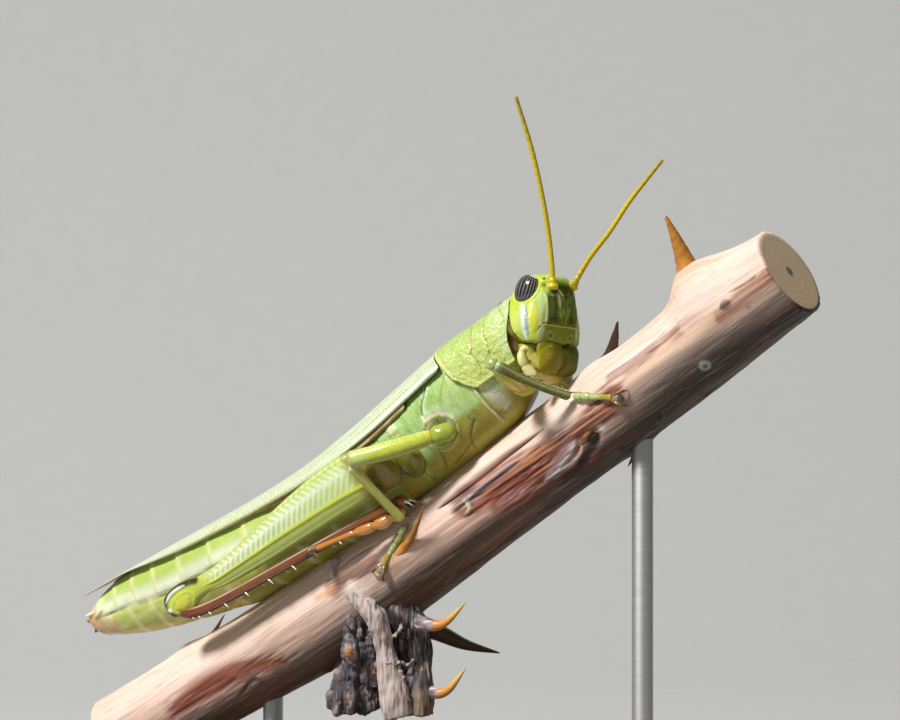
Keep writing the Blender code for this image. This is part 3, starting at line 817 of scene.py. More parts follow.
@dataclass(frozen=True)
class Cuticle:
    """Insect shell: its painted colour under mottling, pale grains and dark pits, over a fine relief."""

    name: str
    axes: Axes = BODY
    roughness: float = 0.38
    coat: float = 0.25
    mottle: float = 0.16
    mottle_size: Point = (0.9, 0.9, 0.9)
    grains: float = 0.0
    pits: float = 0.0
    grain_size: float = 0.3
    relief: float = 0.02
    relief_size: Point = (0.22, 0.22, 0.22)
    shine: float = 0.3
    shade_tone: Point = (0.12, 0.22, 0.02)
    grain_tone: Point = (0.92, 0.93, 0.66)
    pit_tone: Point = (0.1, 0.17, 0.02)

    def material(self) -> Finish:
        """Builds the material.

        Returns:
            The material, which reads the attribute Tint.
        """
        tree = Tree(self.name)
        colour = tree.painted()
        cloudy = tree.noise(tree.along(self.axes, self.mottle_size), 4.0)
        shade = tree.step(cloudy, 0.3, 0.7, self.mottle)
        colour = tree.blend(shade, colour, self.shade_tone)
        fine = tree.along(self.axes, (self.grain_size,) * 3)
        if self.grains:
            spots = tree.step(tree.cells(fine), 0.45, 0.15, self.grains)
            patches = tree.step(tree.noise(tree.along(self.axes, (1.2, 1.2, 1.2)), 2.0), 0.35, 0.6)
            colour = tree.blend(tree.math("MULTIPLY", spots, patches), colour, self.grain_tone)
        if self.pits:
            coarse = tree.along(self.axes, (self.grain_size * 1.7,) * 3)
            holes = tree.step(tree.cells(coarse), 0.26, 0.1, self.pits)
            colour = tree.blend(holes, colour, self.pit_tone)
        tree.drive("Base Color", colour)
        grain = tree.noise(tree.along(self.axes, self.relief_size), 3.0)
        tree.drive("Normal", tree.bump(grain, self.relief))
        return tree.finish(self.roughness, self.coat, shine=self.shine)


@dataclass(frozen=True)
class Bark:
    """Bark: the painted colour under streaks that run along the wood, with a fibrous relief."""

    name: str
    axes: Axes
    streak_size: Point
    streaks: float
    relief: float
    roughness: float = 0.62
    dark_tone: Point = (0.16, 0.09, 0.075)
    pale_tone: Point = (0.85, 0.7, 0.6)
    fine_tone: Point = (0.22, 0.13, 0.1)

    def material(self) -> Finish:
        """Builds the material.

        Returns:
            The material, which reads the attribute Tint.
        """
        tree = Tree(self.name)
        colour = tree.painted()
        long = tree.noise(tree.along(self.axes, self.streak_size), 6.0, 0.35)
        fine_size = tuple(value * 0.28 for value in self.streak_size)
        fine = tree.noise(tree.along(self.axes, fine_size), 4.0, 0.2)
        colour = tree.blend(tree.step(long, 0.52, 0.74, self.streaks), colour, self.dark_tone)
        colour = tree.blend(tree.step(long, 0.46, 0.3, self.streaks * 0.5), colour, self.pale_tone)
        colour = tree.blend(tree.step(fine, 0.55, 0.75, self.streaks * 0.6), colour, self.fine_tone)
        tree.drive("Base Color", colour)
        deep = tree.bump(long, self.relief)
        tree.drive("Normal", tree.bump(fine, self.relief * 0.4, deep))
        return tree.finish(self.roughness)


@dataclass(frozen=True)
class Walnut:
    """Varnished walnut, with rings that a saw has cut along the grain."""

    name: str = "varnished walnut"
    heart: Axes = Axes((0.0, 0.0, -30.0), (("Z", -28.0), ("Y", 4.0)))
    dark: Point = (0.075, 0.032, 0.013)
    pale: Point = (0.15, 0.068, 0.028)
    band: Point = (0.2, 0.095, 0.042)
    pore: Point = (0.028, 0.012, 0.005)

    def material(self) -> Finish:
        """Builds the material.

        Returns:
            The material.
        """
        tree = Tree(self.name)
        rings = tree.step(tree.noise(tree.along(self.heart, (48.0, 1.5, 3.2)), 5.0, 0.5), 0.3, 0.72)
        broad = tree.noise(tree.along(self.heart, (70.0, 9.0, 9.0)), 2.0)
        pores = tree.step(tree.noise(tree.along(self.heart, (3.0, 0.14, 0.3)), 2.0), 0.58, 0.72)
        colour = tree.blend(rings, self.dark, self.pale)
        colour = tree.blend(tree.step(broad, 0.35, 0.75, 0.5), colour, self.band)
        colour = tree.blend(pores, colour, self.pore)
        tree.drive("Base Color", colour)
        tree.drive("Normal", tree.bump(tree.math("SUBTRACT", 1.0, pores), 0.03))
        return tree.finish(0.42, 0.5)


@dataclass(frozen=True)
class BrushedSteel:
    """Steel rod, brushed round."""

    name: str = "brushed steel"
    dark: Point = (0.5, 0.5, 0.5)
    pale: Point = (0.68, 0.68, 0.67)

    def material(self) -> Finish:
        """Builds the material.

        Returns:
            The material.
        """
        tree = Tree(self.name)
        brush = tree.noise(tree.along(WORLD, (2.0, 2.0, 0.05)), 2.0)
        colour = tree.blend(brush, self.dark, self.pale)
        tree.drive("Base Color", colour)
        tree.drive("Roughness", tree.step(brush, -1.6, 1.0, 0.55))
        tree.drive("Normal", tree.bump(brush, 0.001))
        return tree.finish(0.3, 0.0, 1.0)


@dataclass
class Head:
    """The head: a skull with its face, two eyes, two antennae, the labrum and the jaws with their palps."""

    skull_stations: Route = (
        (5.85, -0.6, 1.5, 0.9),
        (5.35, -1.8, 2.4, 1.85),
        (4.3, -2.6, 2.95, 2.65),
        (2.8, -3.1, 3.05, 3.3),
        (1.0, -2.85, 3.05, 3.95),
        (-0.5, -1.75, 3.0, 4.1),
        (-1.3, -0.8, 2.95, 3.85),
        (-1.75, -0.1, 2.8, 3.4),
    )
    labrum_stations: Route = (
        (-1.2, 1.5, 2.84, 2.75),
        (-2.0, 1.7, 2.98, 2.95),
        (-2.9, 1.85, 3.06, 2.88),
        (-3.9, 1.95, 3.0, 2.62),
        (-4.75, 2.1, 2.7, 1.9),
    )
    jaw_stations: Route = (
        (-1.5, -1.1, 1.9, 3.3),
        (-3.0, -0.6, 1.85, 3.1),
        (-4.4, 0.1, 1.9, 2.6),
        (-5.75, 0.8, 1.9, 1.6),
    )
    eye_place: Point = (0.1, -2.58, 3.82)
    eye_half_sizes: Point = (1.38, 1.02, 1.65)
    eye_rows: int = 97
    eye_columns: int = 265
    eye_fullness: float = 0.9
    eye_stripes: float = 22.0
    eye_lean_forward: float = 11.0
    eye_lean_in: float = 8.0
    antenna_right: Route = (
        (2.72, -1.5, 3.95), (2.8, -2.5, 8.4), (2.9, -4.0, 12.7), (2.9, -6.05, 17.5), (2.6, -8.7, 22.9),
    )
    antenna_left: Route = (
        (2.72, 1.2, 4.3), (3.0, 3.4, 7.7), (3.0, 6.3, 10.8), (2.6, 9.8, 14.6), (2.2, 15.0, 19.5),
    )
    antenna_sizes: tuple[float, ...] = (0.32, 0.27, 0.26, 0.25, 0.24)
    beads: int = 25
    palps: tuple[tuple[Route, float], ...] = (
        (((0.8, -2.2, -1.9), (0.5, -3.2, -2.6), (1.0, -3.15, -4.0), (1.9, -2.4, -5.3)), 0.52),
        (((1.2, -1.1, -4.6), (1.4, -1.35, -5.5), (2.0, -1.3, -6.3)), 0.36),
    )
    shell: Cuticle = Cuticle("head shell", HEAD, roughness=0.33, coat=0.1, mottle=0.15,
                             mottle_size=(0.5, 0.5, 0.8), relief=0.02, shine=0.1)
    waxy: Cuticle = Cuticle("waxy yellow shell", HEAD, roughness=0.4, coat=0.2, mottle=0.1,
                            mottle_size=(0.4, 0.4, 0.4), relief=0.01)

    @staticmethod
    def middle(points: np.ndarray) -> np.ndarray:
        """Where the face's middle line lies, which leans a little to one side."""
        return 0.33 - (3.45 - points[..., 2]) * 0.116

    @classmethod
    def half(cls, points: np.ndarray) -> np.ndarray:
        """The places of the face's right half, for marks that show on both."""
        return right_half(points, cls.middle(points))

    def eye_axes(self, side: Side) -> np.ndarray:
        """The matrix from an eye's unit ball to the head's axes.

        Args:
            side: Which side.

        Returns:
            The matrix.
        """
        lean = Matrix.Rotation(math.radians(self.eye_lean_forward), 4, "Y")
        lean = lean @ Matrix.Rotation(math.radians(self.eye_lean_in) * side.value, 4, "X")
        place = Matrix.Translation(Vector(side.of([self.eye_place])[0]))
        return np.array(place @ lean @ Matrix.Diagonal((*self.eye_half_sizes, 1.0)))

    def skull(self) -> None:
        """Builds the skull with the marks of its face."""
        skin = Skin(stack(self.skull_stations, rows=150, columns=260, blunt=0.045), Tone.GRASS)
        x, _, z = skin.xyz
        skin.paint(Tone.LEAF, ease(z, 3.6, 5.4) * 0.8)
        skin.paint(Tone.LEMON, 0.25 * ease(-x, -1.0, 0.5))
        # The frons and clypeus: their own dark green, deepened with painted shade.
        face = ease(x, 2.45, 2.75) * ease(z, 0.3, 0.6) * ease(-z, -4.9, -4.4)
        skin.paint(Tone.MOSS, face * (0.95 + 0.3 * cloud(skin.points, (0.5, 0.35, 0.6), 3)))
        clypeus = ease(x, 2.4, 2.7) * ease(-z, -0.35, -0.15)
        skin.paint(Tone.MOSS, 0.7 * clypeus).paint(Tone.OLIVE, 0.4 * clypeus)
        skin.swell(-0.1 * clypeus - 0.06 * face)
        skin.mark(self.cheek_marks(), self.half).mark(self.face_marks(), self.half)
        # Painted highlight: a cream streak down the frons beside its ridge, on the right side only.
        lit = [(2.98, -1.05, 3.65), (3.0, -0.8, 3.25), (3.0, -0.64, 2.7), (3.0, -0.58, 2.2)]
        skin.mark([Mark(lit, 0.2, 0.03, Tone.CREAM, 0.85)])
        for side in Side:
            local = np.linalg.inv(self.eye_axes(side))
            gap = np.linalg.norm(skin.points @ local[:3, :3].T + local[:3, 3], axis=2)
            rim = bell(gap, 1.12, 0.085)
            skin.paint(Tone.LEMON, 0.6 * rim).swell(0.06 * rim)
            skin.paint(Tone.UMBER, ease(-gap, -1.05, -1.0))
        shown(skin.piece("skull", HEAD), self.shell.material(), Slot.GREEN, ["head"])

    @staticmethod
    def cheek_marks() -> list[Mark]:
        """The stripes and margins of a cheek.

        Returns:
            The marks, in the order in which they are laid.
        """
        hind = [(-1.7, -3.2, 2.7), (-0.98, -3.67, 1.27), (-0.26, -4.06, 0.0), (0.49, -4.03, -1.01),
                (1.1, -3.75, -1.65)]
        behind = [(x - 0.75, y + 0.1, z - 0.15) for x, y, z in hind]
        yellow = [(1.3, -3.1, 2.6), (1.47, -3.28, 2.19), (1.72, -3.36, 1.67), (1.96, -3.42, 1.06),
                  (2.01, -3.56, 0.24), (1.91, -3.67, -0.58)]
        white = [(0.3, -3.4, 2.4), (0.42, -3.49, 2.18), (0.78, -3.75, 1.48), (1.14, -3.92, 0.64),
                 (1.39, -3.95, -0.39), (1.56, -3.81, -1.4)]
        teal = [(0.8, -3.55, 2.1), (1.28, -3.8, 0.85), (1.49, -3.86, 0.03), (1.64, -3.82, -0.69),
                (1.69, -3.76, -1.19)]
        hatch = [
            Mark([(wx + 0.05, wy, wz - 0.25), (tx, ty, tz)], 0.05, -0.02, Tone.TEAL, 0.6)
            for (wx, wy, wz), (tx, ty, tz) in zip(smooth(numbered(white), np.linspace(0.3, 4.8, 9)),
                                                  smooth(numbered(teal), np.linspace(0.0, 3.8, 9)))
        ]
        return [
            Mark([(0.3, -3.9, 0.9), (0.9, -3.9, -0.6)], 1.3, 0.14),
            Mark(behind, 0.55, -0.12, Tone.RUST, 0.9, 4.0, False),
            Mark(hind, 0.13, 0.05, Tone.LIME, 0.7),
            Mark([(-0.3, -3.75, 1.6), (0.4, -4.0, -0.2)], 0.8, 0.0, Tone.CREAM, 0.15),
            Mark(yellow, 0.5, 0.04, Tone.LEMON, 0.8, 4.0),
            Mark(white, 0.46, 0.0, Tone.MEMBRANE, 0.8, 3.0),
            Mark(white, 0.3, 0.0, Tone.WHITE, 0.5, 3.0),
            Mark([(px + 0.05, py, pz) for px, py, pz in teal], 0.2, -0.03, Tone.TEAL, 0.75, 2.5),
            *hatch,
            Mark([(-0.1, -3.5, 1.9)], 0.09, -0.03, Tone.OLIVE, 0.8),
        ]

    @staticmethod
    def face_marks() -> list[Mark]:
        """The ridges, seams, ocelli and pits of the face, with painted shade, sheen and highlight on the
        frons.

        Returns:
            The marks, in the order in which they are laid.
        """
        carina = [(1.92, -2.44, 4.0), (2.36, -2.26, 3.4), (2.61, -2.19, 2.69), (2.71, -2.19, 1.78),
                  (2.74, -2.25, 0.96), (2.73, -2.33, 0.45)]
        band = [(2.1, -2.62, 3.3), (2.26, -2.72, 2.14), (2.44, -2.76, 1.12), (2.56, -2.7, 0.53)]
        costa = [(2.9, -1.05, 4.2), (2.94, -0.84, 3.94), (3.0, -0.25, 3.39), (3.01, 0.02, 2.61),
                 (3.01, -0.05, 1.79), (3.01, -0.2, 1.1), (3.0, -0.22, 0.6)]
        seam = [(2.5, -2.85, 0.15), (2.65, -2.62, 0.42), (2.88, -1.68, 0.51), (3.0, -0.6, 0.46),
                (3.0, 0.0, 0.44)]
        lip = [(2.7, -1.95, -1.35), (2.88, -1.06, -1.5), (2.89, -0.28, -1.75)]
        fold = [(2.5, -2.85, 0.1), (2.2, -3.3, -0.7), (1.8, -3.2, -1.6)]
        wedge = [(2.62, -2.7, -0.1), (2.4, -2.85, -0.8), (2.0, -2.7, -1.6)]
        return [
            Mark(band, 0.5, 0.0, Tone.PALE_GREEN, 0.55, 3.0, False),
            # The frons darkened: its own dark green together with painted shade.
            Mark([(2.98, -1.2, 4.2), (2.98, -1.3, 0.9)], 0.75, 0.0, Tone.MOSS, 0.9, 4.0),
            # Painted sheen: a lighter green patch on the frons.
            Mark([(2.9, -1.7, 3.2), (2.95, -1.65, 2.2), (2.95, -1.6, 1.2)], 0.4, 0.0, Tone.LEAF, 0.35),
            Mark([(3.0, -0.5, 2.4), (3.0, -0.45, 1.2)], 0.3, 0.0, Tone.GRASS, 0.5),
            Mark(carina, 0.15, 0.16, Tone.PALE_GREEN, 0.7),
            Mark([(2.98, -1.2, 3.2), (3.0, -1.15, 1.0)], 0.6, -0.08),
            Mark(costa, 0.14, 0.09, Tone.LEAF, 0.45),
            # Painted highlight: white along the top of the frontal ridge, below the antenna.
            Mark(costa[:3], 0.09, 0.02, Tone.WHITE, 0.7),
            Mark([(3.0, 0.33, 3.45)], 0.16, -0.1, Tone.UMBER, 0.9),
            Mark(seam, 0.08, -0.09, Tone.RUST, 0.9, 2.0, False),
            Mark([(2.55, -2.79, 0.2)], 0.17, 0.12, Tone.CREAM, 0.9),
            Mark(ring((2.85, -1.62, -0.7), (0, 0.36, 0), (0, 0, 0.36)), 0.1, 0.09,
                 Tone.LEAF, 0.6, 2.0, False),
            Mark([(2.85, -1.62, -0.7)], 0.2, -0.08, Tone.MOSS, 0.5),
            Mark(wedge, 0.36, 0.05, Tone.PALE_GREEN, 0.9, 3.0, False),
            Mark([(2.2, -3.3, -0.7), (1.9, -3.4, -1.3)], 0.3, 0.02, Tone.YELLOW, 0.8),
            Mark(fold, 0.09, -0.1, Tone.RUST, 0.9, 2.0, False),
            Mark(lip, 0.1, -0.08, Tone.RUST, 0.7, 2.0, False),
            Mark([(1.72, -1.88, 5.02)], 0.42, 0.12, Tone.LEMON, 0.85, 4.0),
            Mark([(1.75, -1.9, 5.05)], 0.2, -0.06, Tone.UMBER, 0.95, 4.0),
            Mark([(2.05, -2.15, 4.4)], 0.24, -0.14, Tone.UMBER, 0.85),
            Mark(ring((2.75, -1.5, 3.95), (0, 0.58, 0), (0, 0, 0.58)), 0.12, 0.05,
                 Tone.MEMBRANE, 0.55, 2.0, False),
        ]

    def eye(self, side: Side) -> None:
        """Builds one eye: a glossy ball with thin pale stripes from its top to its foot.

        Args:
            side: Which side.
        """
        down = np.linspace(0.0, math.pi, self.eye_rows)[:, None]
        around = np.linspace(0.0, TAU, self.eye_columns)[None, :]
        ring_size = np.sin(down) ** self.eye_fullness
        ball = np.stack([
            ring_size * np.sign(np.cos(around)) * np.abs(np.cos(around)) ** self.eye_fullness,
            ring_size * np.sign(np.sin(around)) * np.abs(np.sin(around)) ** self.eye_fullness,
            rounded(np.cos(down), self.eye_fullness) + 0 * around,
        ], axis=2)
        ball[:, -1] = ball[:, 0]
        ball[0], ball[-1] = (0.0, 0.0, 1.0), (0.0, 0.0, -1.0)
        matrix = self.eye_axes(side)
        skin = Skin(ball @ matrix[:3, :3].T + matrix[:3, 3], Tone.EYE)
        wobble = 0.05 * cloud(ball, 0.5, 5)
        stripe = np.sin((around + wobble) * self.eye_stripes) * 0.5 + 0.5
        shade = ease(stripe, 0.6, 0.95) * ease(np.sin(down), 0.1, 0.5)
        skin.paint(Tone.SAND, 0.55 * shade * (0.45 + 0.55 * ease(-down, -2.3, -1.4)))
        gloss = Cuticle(f"eye gloss {side.word}", HEAD, roughness=0.1, coat=1.0, mottle=0.0, relief=0.002,
                        relief_size=(0.06,) * 3)
        piece = skin.piece(f"eye_ball_{side.word}", HEAD)
        shown(piece, gloss.material(), Slot.EYE, [f"eye_{side.word}"])

    def beaded(self, share: np.ndarray, turn: np.ndarray) -> np.ndarray:
        """An antenna's section, by share along and angle round.

        Args:
            share: The share along it.
            turn: The angle round it.

        Returns:
            The scale of its half thickness.
        """
        bulb = 0.95 * bell(share, 0.022, 0.018) + 0.45 * bell(share, 0.055, 0.012)
        bead = 0.13 * np.abs(np.sin(math.pi * self.beads * share)) ** 0.6 * ease(share, 0.06, 0.1)
        return 0.92 + bulb + bead - 0.25 * ease(share, 0.8, 1.0)

    def antenna(self, side: Side, finish: Finish) -> None:
        """Builds one antenna: a bulb, a short neck and many beads.

        Args:
            side: Which side.
            finish: Its material.
        """
        route = self.antenna_right if side is Side.RIGHT else self.antenna_left
        tall = (1.0, 0.0, 0.1)
        skin = Skin(tube(route, self.antenna_sizes, rows=420, columns=18, up=tall, blunt=0.004,
                    form=self.beaded), Tone.YELLOW)
        share = skin.share
        seams = 1.0 - np.abs(np.sin(math.pi * self.beads * share)) ** 0.4
        skin.paint(Tone.OLIVE, 0.5 * seams * ease(share, 0.06, 0.1))
        skin.paint(Tone.RUST, 0.45 * ease(share, 0.75, 1.0))
        piece = skin.piece(f"feeler_{side.word}", HEAD)
        shown(piece, finish, Slot.YELLOW, [f"antenna_{side.word}"])

    def labrum(self) -> None:
        """Builds the two-lobed upper lip."""
        skin = Skin(stack(self.labrum_stations, rows=140, columns=240, blunt=0.12), Tone.OLIVE)
        _, y, z = skin.xyz
        middle = 0.42 + 0.16 * (z + 1.6)
        off = np.abs(y - middle)
        mottle = cloud(skin.points, (0.6, 0.6, 0.8), 6)
        skin.paint(Tone.RUST, 0.5 + 0.2 * mottle)
        # Painted light and shade over the lip's own olive: yellower towards the right lobe and the foot,
        # darker moss towards the left lobe and the top.
        skin.paint(Tone.YELLOW, 0.4 * ease(-y, 0.9, 2.6) + 0.2 * ease(-z, 3.4, 4.6))
        skin.paint(Tone.MOSS, 0.3 + 0.5 * ease(y, -0.6, 1.2) + 0.3 * ease(z, -2.6, -1.8))
        lobes = bell(off, 1.45, 1.3, 4) * bell(z, -3.2, 1.45, 4)
        valley = bell(off, 0.0, 0.3) * ease(-z, 1.8, 2.4)
        cleft = bell(off, 0.0, 0.1) * ease(-z, 3.5, 4.1)
        notch = bell(off, 0.0, 0.5) * ease(z, -2.1, -1.5)
        skin.swell(0.26 * lobes - 0.08 * valley - 0.25 * cleft - 0.3 * notch + 0.035 * mottle)
        skin.paint(Tone.UMBER, 0.5 * cleft + 0.5 * notch)
        rim = [(2.95, -0.9, -1.9), (2.85, -1.9, -1.95), (2.6, -2.6, -2.6), (2.4, -2.75, -3.3),
               (2.35, -2.6, -4.0), (2.5, -2.0, -4.5)]
        skin.mark([
            # Painted highlights: a lemon rim and a lemon spot, on the right lobe only.
            Mark(rim, 0.16, 0.08, Tone.LEMON, 0.75, 2.0),
            Mark([(3.0, -1.7, -2.5), (2.95, -1.9, -3.4)], 0.3, 0.05, Tone.LEMON, 0.35),
            Mark([(3.0, -1.2, -2.4), (3.0, -0.9, -3.2), (2.9, -1.2, -4.2)], 0.13, -0.07, Tone.MOSS, 0.6, 2.0),
            Mark([(3.0, -0.2, -2.5), (3.0, 0.0, -3.4), (2.9, -0.2, -4.4)], 0.12, -0.05, Tone.RUST, 0.7, 2.0),
        ])
        shown(skin.piece("upper_lip", HEAD), self.shell.material(), Slot.YELLOW, ["labrum"])

    @staticmethod
    def knuckle(share: np.ndarray) -> np.ndarray:
        """How full a palp is along its three joints, from 0 at a seam to 1."""
        return np.abs(np.sin(math.pi * 3.0 * share)) ** 0.5

    @classmethod
    def knuckled(cls, share: np.ndarray, turn: np.ndarray) -> np.ndarray:
        """A palp's section, by share along and angle round."""
        return (0.76 + 0.3 * cls.knuckle(share)) * (1.0 + 0.13 * np.cos(2.0 * turn + 5.0 * share))

    def jaws(self, finish: Finish) -> None:
        """Builds the jaws and the four palps.

        Args:
            finish: Their material.
        """
        skin = Skin(stack(self.jaw_stations, rows=70, columns=120, blunt=0.08), Tone.BUTTER)
        x, _, z = skin.xyz
        skin.paint(Tone.RUST, ease(-x, -0.6, 0.4) * 0.8)
        skin.paint(Tone.YELLOW, 0.45 * ease(z, -4.6, -3.5)).paint(Tone.OLIVE, 0.6 * ease(z, -3.6, -2.2))
        skin.mark([
            Mark([(1.9, 0.0, -4.6), (1.7, -0.3, -5.8)], 0.14, -0.14, Tone.RUST, 0.8),
            Mark([(1.2, -2.9, -3.4), (1.8, -1.6, -4.6)], 0.16, -0.16, Tone.RUST, 0.7),
            Mark([(1.5, -2.2, -2.5), (1.7, -1.9, -4.2)], 0.5, 0.15, Tone.CREAM, 0.5),
        ], self.half)
        parts = [skin.piece("jaw", HEAD)]
        for (route, thick), side in itertools.product(self.palps, Side):
            sizes = (thick, thick, thick * 0.9)
            palp = Skin(tube(side.of(route), sizes, rows=60, columns=24, up=(0.2, 1.0, 0.1), blunt=0.1,
                        form=self.knuckled), Tone.BUTTER)
            palp.paint(Tone.CREAM, 0.4).paint(Tone.OLIVE, 0.65 * (1.0 - self.knuckle(palp.share)))
            parts.append(palp.piece("palp", HEAD))
        shown(joined("jaws_and_palps", parts), finish, Slot.YELLOW, ["mouthparts"])

    def build(self) -> None:
        """Builds all of the head."""
        waxy = self.waxy.material()
        self.skull()
        for side in Side:
            self.eye(side)
            self.antenna(side, waxy)
        self.labrum()
        self.jaws(waxy)


@dataclass
class Thorax:
    """The pronotum's saddle, and the walls of the thorax below it."""

    stations: Route = (
        (-6.7, 3.1, -6.1, 3.9),
        (-3.0, 3.5, -6.05, 4.1),
        (0.5, 3.95, -5.95, 4.2),
        (4.0, 4.4, -5.8, 4.2),
        (8.0, 4.75, -5.3, 3.95),
        (11.0, 4.8, -3.9, 3.4),
        (13.2, 4.4, -1.9, 2.6),
    )
    neck_route: Route = ((10.5, 0.0, 1.1), (12.6, -0.1, 1.5), (15.2, -0.1, 2.8))
    neck_sizes: tuple[float, ...] = (2.4, 3.0, 3.6)
    saddle_rows: int = 105
    saddle_columns: int = 171
    saddle_top: float = 5.65
    saddle_waist: float = 1.0
    saddle_half_width: float = 4.35
    saddle_thick: float = 0.55
    saddle_hind: tuple[float, float] = (4.15, 6.5)
    saddle_front: tuple[float, float] = (15.1, 13.0)
    saddle_turn: float = math.radians(103)
    roundness: float = 0.85
    grainy: Cuticle = Cuticle("grainy shell", BODY, roughness=0.38, coat=0.3, mottle=0.2,
                              mottle_size=(1.1, 1.1, 1.1), grains=0.55, pits=0.35, grain_size=0.19,
                              relief=0.07)
    wrinkled: Cuticle = Cuticle(
        "wrinkled shell", BODY, roughness=0.36, coat=0.35, mottle=0.3, mottle_size=(0.8, 1.2, 2.2),
        grains=0.1, pits=0.35, grain_size=0.24, relief=0.09, relief_size=(0.16, 0.45, 0.45)
    )

    def hind(self, low: np.ndarray) -> np.ndarray:
        """Where the saddle's hind margin lies, from the ridge at 0 to the foot of a side at 1."""
        corner = np.maximum(0.0, low - 0.8) / 0.2
        return self.saddle_hind[0] + (self.saddle_hind[1] - self.saddle_hind[0]) * low**1.4 + 1.3 * corner

    def saddle(self) -> None:
        """Builds the pronotum: a bent plate with seams, raised margins and a grainy face."""
        half = np.linspace(-1.0, 1.0, self.saddle_columns)
        shares = np.concatenate([half, half[::-1], half[:1]])
        inner = np.concatenate([np.zeros(len(half)), np.ones(len(half)), [0.0]])
        along = np.concatenate([[0.0], np.linspace(0.0, 1.0, self.saddle_rows), [1.0]])[:, None]
        thin = np.minimum(ease(along, -0.012, 0.06), ease(-along, -1.02, -0.95))
        thin = thin * (1.0 - 0.55 * ease(np.abs(shares), 0.9, 1.0)) * (0.35 + 0.65 * ease(along, 0.0, 0.2))
        thin[0], thin[-1] = 0.0, 0.0
        low, angle = np.abs(shares), shares * self.saddle_turn
        out, up = rounded(np.sin(angle), self.roundness), rounded(np.cos(angle), self.roundness)
        hind = self.hind(low)
        front = self.saddle_front[0] + (self.saddle_front[1] - self.saddle_front[0]) * ease(low, 0.35, 1.0)
        inset = self.saddle_thick * inner * thin
        x = hind + (front - hind) * along
        y = (self.saddle_half_width - inset) * (1 - 0.1 * along**2) * out
        z = self.saddle_waist + (self.saddle_top - self.saddle_waist - inset) * up
        skin = Skin(np.stack([x, y, z], axis=2), Tone.LIME)
        outer = 1.0 - inner
        skin.paint(Tone.GRASS, 0.4).paint(Tone.LEAF, 0.6 * ease(z, 4.2, 5.6))
        skin.paint(Tone.LEMON, 0.25 * ease(-np.abs(x - 11.9), -0.9, -0.1) * ease(-z, -4.6, -3.0))
        skin.paint(Tone.PALE_GREEN, 0.5 * ease(x, 11.9, 12.8))
        edge = np.maximum(ease(-along, -0.055, -0.02), ease(low, 0.955, 0.985)) * outer
        skin.paint(Tone.BUTTER, 0.6 * edge)
        relief = 0.08 * edge + 0.075 * outer * cloud(skin.points, 0.24, 2) * (1 - edge)
        relief += 0.03 * outer * cloud(skin.points, (0.5, 0.9, 0.9), 3)
        relief += 0.09 * bell(y, 0.0, 0.16) * (z > 3.0) * outer
        relief += 0.05 * outer * ease(-np.abs(x - 7.0), -2.2, -0.5)
        skin.swell(relief * ease(along * (1 - along), 0.0, 0.01))
        first = [(11.9, 0.0, 5.7), (11.8, -2.0, 5.3), (11.35, -3.46, 3.88), (11.37, -3.72, 3.35),
                 (11.36, -3.94, 2.7), (11.08, -4.07, 1.97), (10.9, -4.1, 1.2)]
        second = [(10.2, 0.0, 5.7), (10.0, -2.0, 5.4), (9.5, -3.65, 3.75), (9.51, -3.83, 3.34),
                  (9.19, -3.97, 2.99), (9.4, -4.15, 2.21), (9.43, -4.26, 1.27), (9.22, -4.26, 0.82)]
        skin.mark_sides([
            Mark(first, 0.11, -0.07, Tone.OLIVE, 0.8),
            Mark(second, 0.11, -0.08, Tone.OLIVE, 0.85),
            Mark([(7.6, -4.3, 1.2)], 1.2, 0.0, Tone.LEMON, 0.3),
        ])
        shown(skin.piece("saddle", BODY), self.grainy.material(), Slot.GREEN, ["pronotum"])

    def walls(self) -> None:
        """Builds the thorax: side plates with seams, the middle hip's ring and the plates below."""
        skin = Skin(trunk(self.stations, -6.75, 13.2, rows=200, columns=210, squareness=2.35), Tone.LEAF)
        x, _, z = skin.xyz
        skin.paint(Tone.SEA, 0.55 + 0.35 * cloud(skin.points, (2.0, 2.0, 1.5), 4))
        skin.paint(Tone.LIME, 0.5 * ease(x, 3.0, 5.0) * ease(z, -2.0, 1.0))
        # The underside in olive-brown: its own colour together with painted shade.
        skin.paint(Tone.BELLY, ease(-z + 0.35 * x - 0.5 * cloud(skin.points, 1.5, 8), 2.4, 3.6)
                   * ease(-z, 1.2, 2.2))
        skin.paint(Tone.BELLY, 0.9 * ease(-z, 3.0, 3.8))
        # Painted shade: rust-brown low down by the front hip.
        skin.paint(Tone.RUST, 0.5 * ease(x, 9.0, 10.5) * ease(-z, 0.5, 2.0))
        wrinkles = cloud(skin.points, (0.3, 0.9, 0.8), 6) + 0.6 * cloud(skin.points, (0.16, 0.5, 0.4), 7)
        skin.swell(0.055 * wrinkles * ease(z, -3.2, -1.5) + 0.1 * ease(-np.abs(x - 2.6), -1.4, -0.3)
                   * ease(z, -1, 1))
        skin.mark_sides(self.seams())
        shown(joined("thorax_walls", [skin.piece("walls", BODY), self.neck()]), self.wrinkled.material(),
              Slot.GREEN, ["thorax"])

    def neck(self) -> Piece:
        """Builds the folded brown skin between thorax and head.

        Returns:
            The piece.
        """
        points = tube(self.neck_route, self.neck_sizes, rows=70, columns=90, blunt=0.02)
        skin = Skin(points, Tone.RUST)
        folds = np.sin(np.linspace(0.0, 26.0, len(points)))[:, None] + 0.8 * cloud(points, (0.9, 0.9, 0.9), 5)
        # Painted light and shade over the brown: paler on the fold crests, darker in the troughs.
        skin.paint(Tone.TAN, 0.45 * ease(folds, -0.2, 1.0)).paint(Tone.UMBER, 0.6 * ease(-folds, 0.3, 1.2))
        return skin.swell(0.1 * folds * ease(points[..., 0], 10.6, 11.2)).piece("neck", BODY)

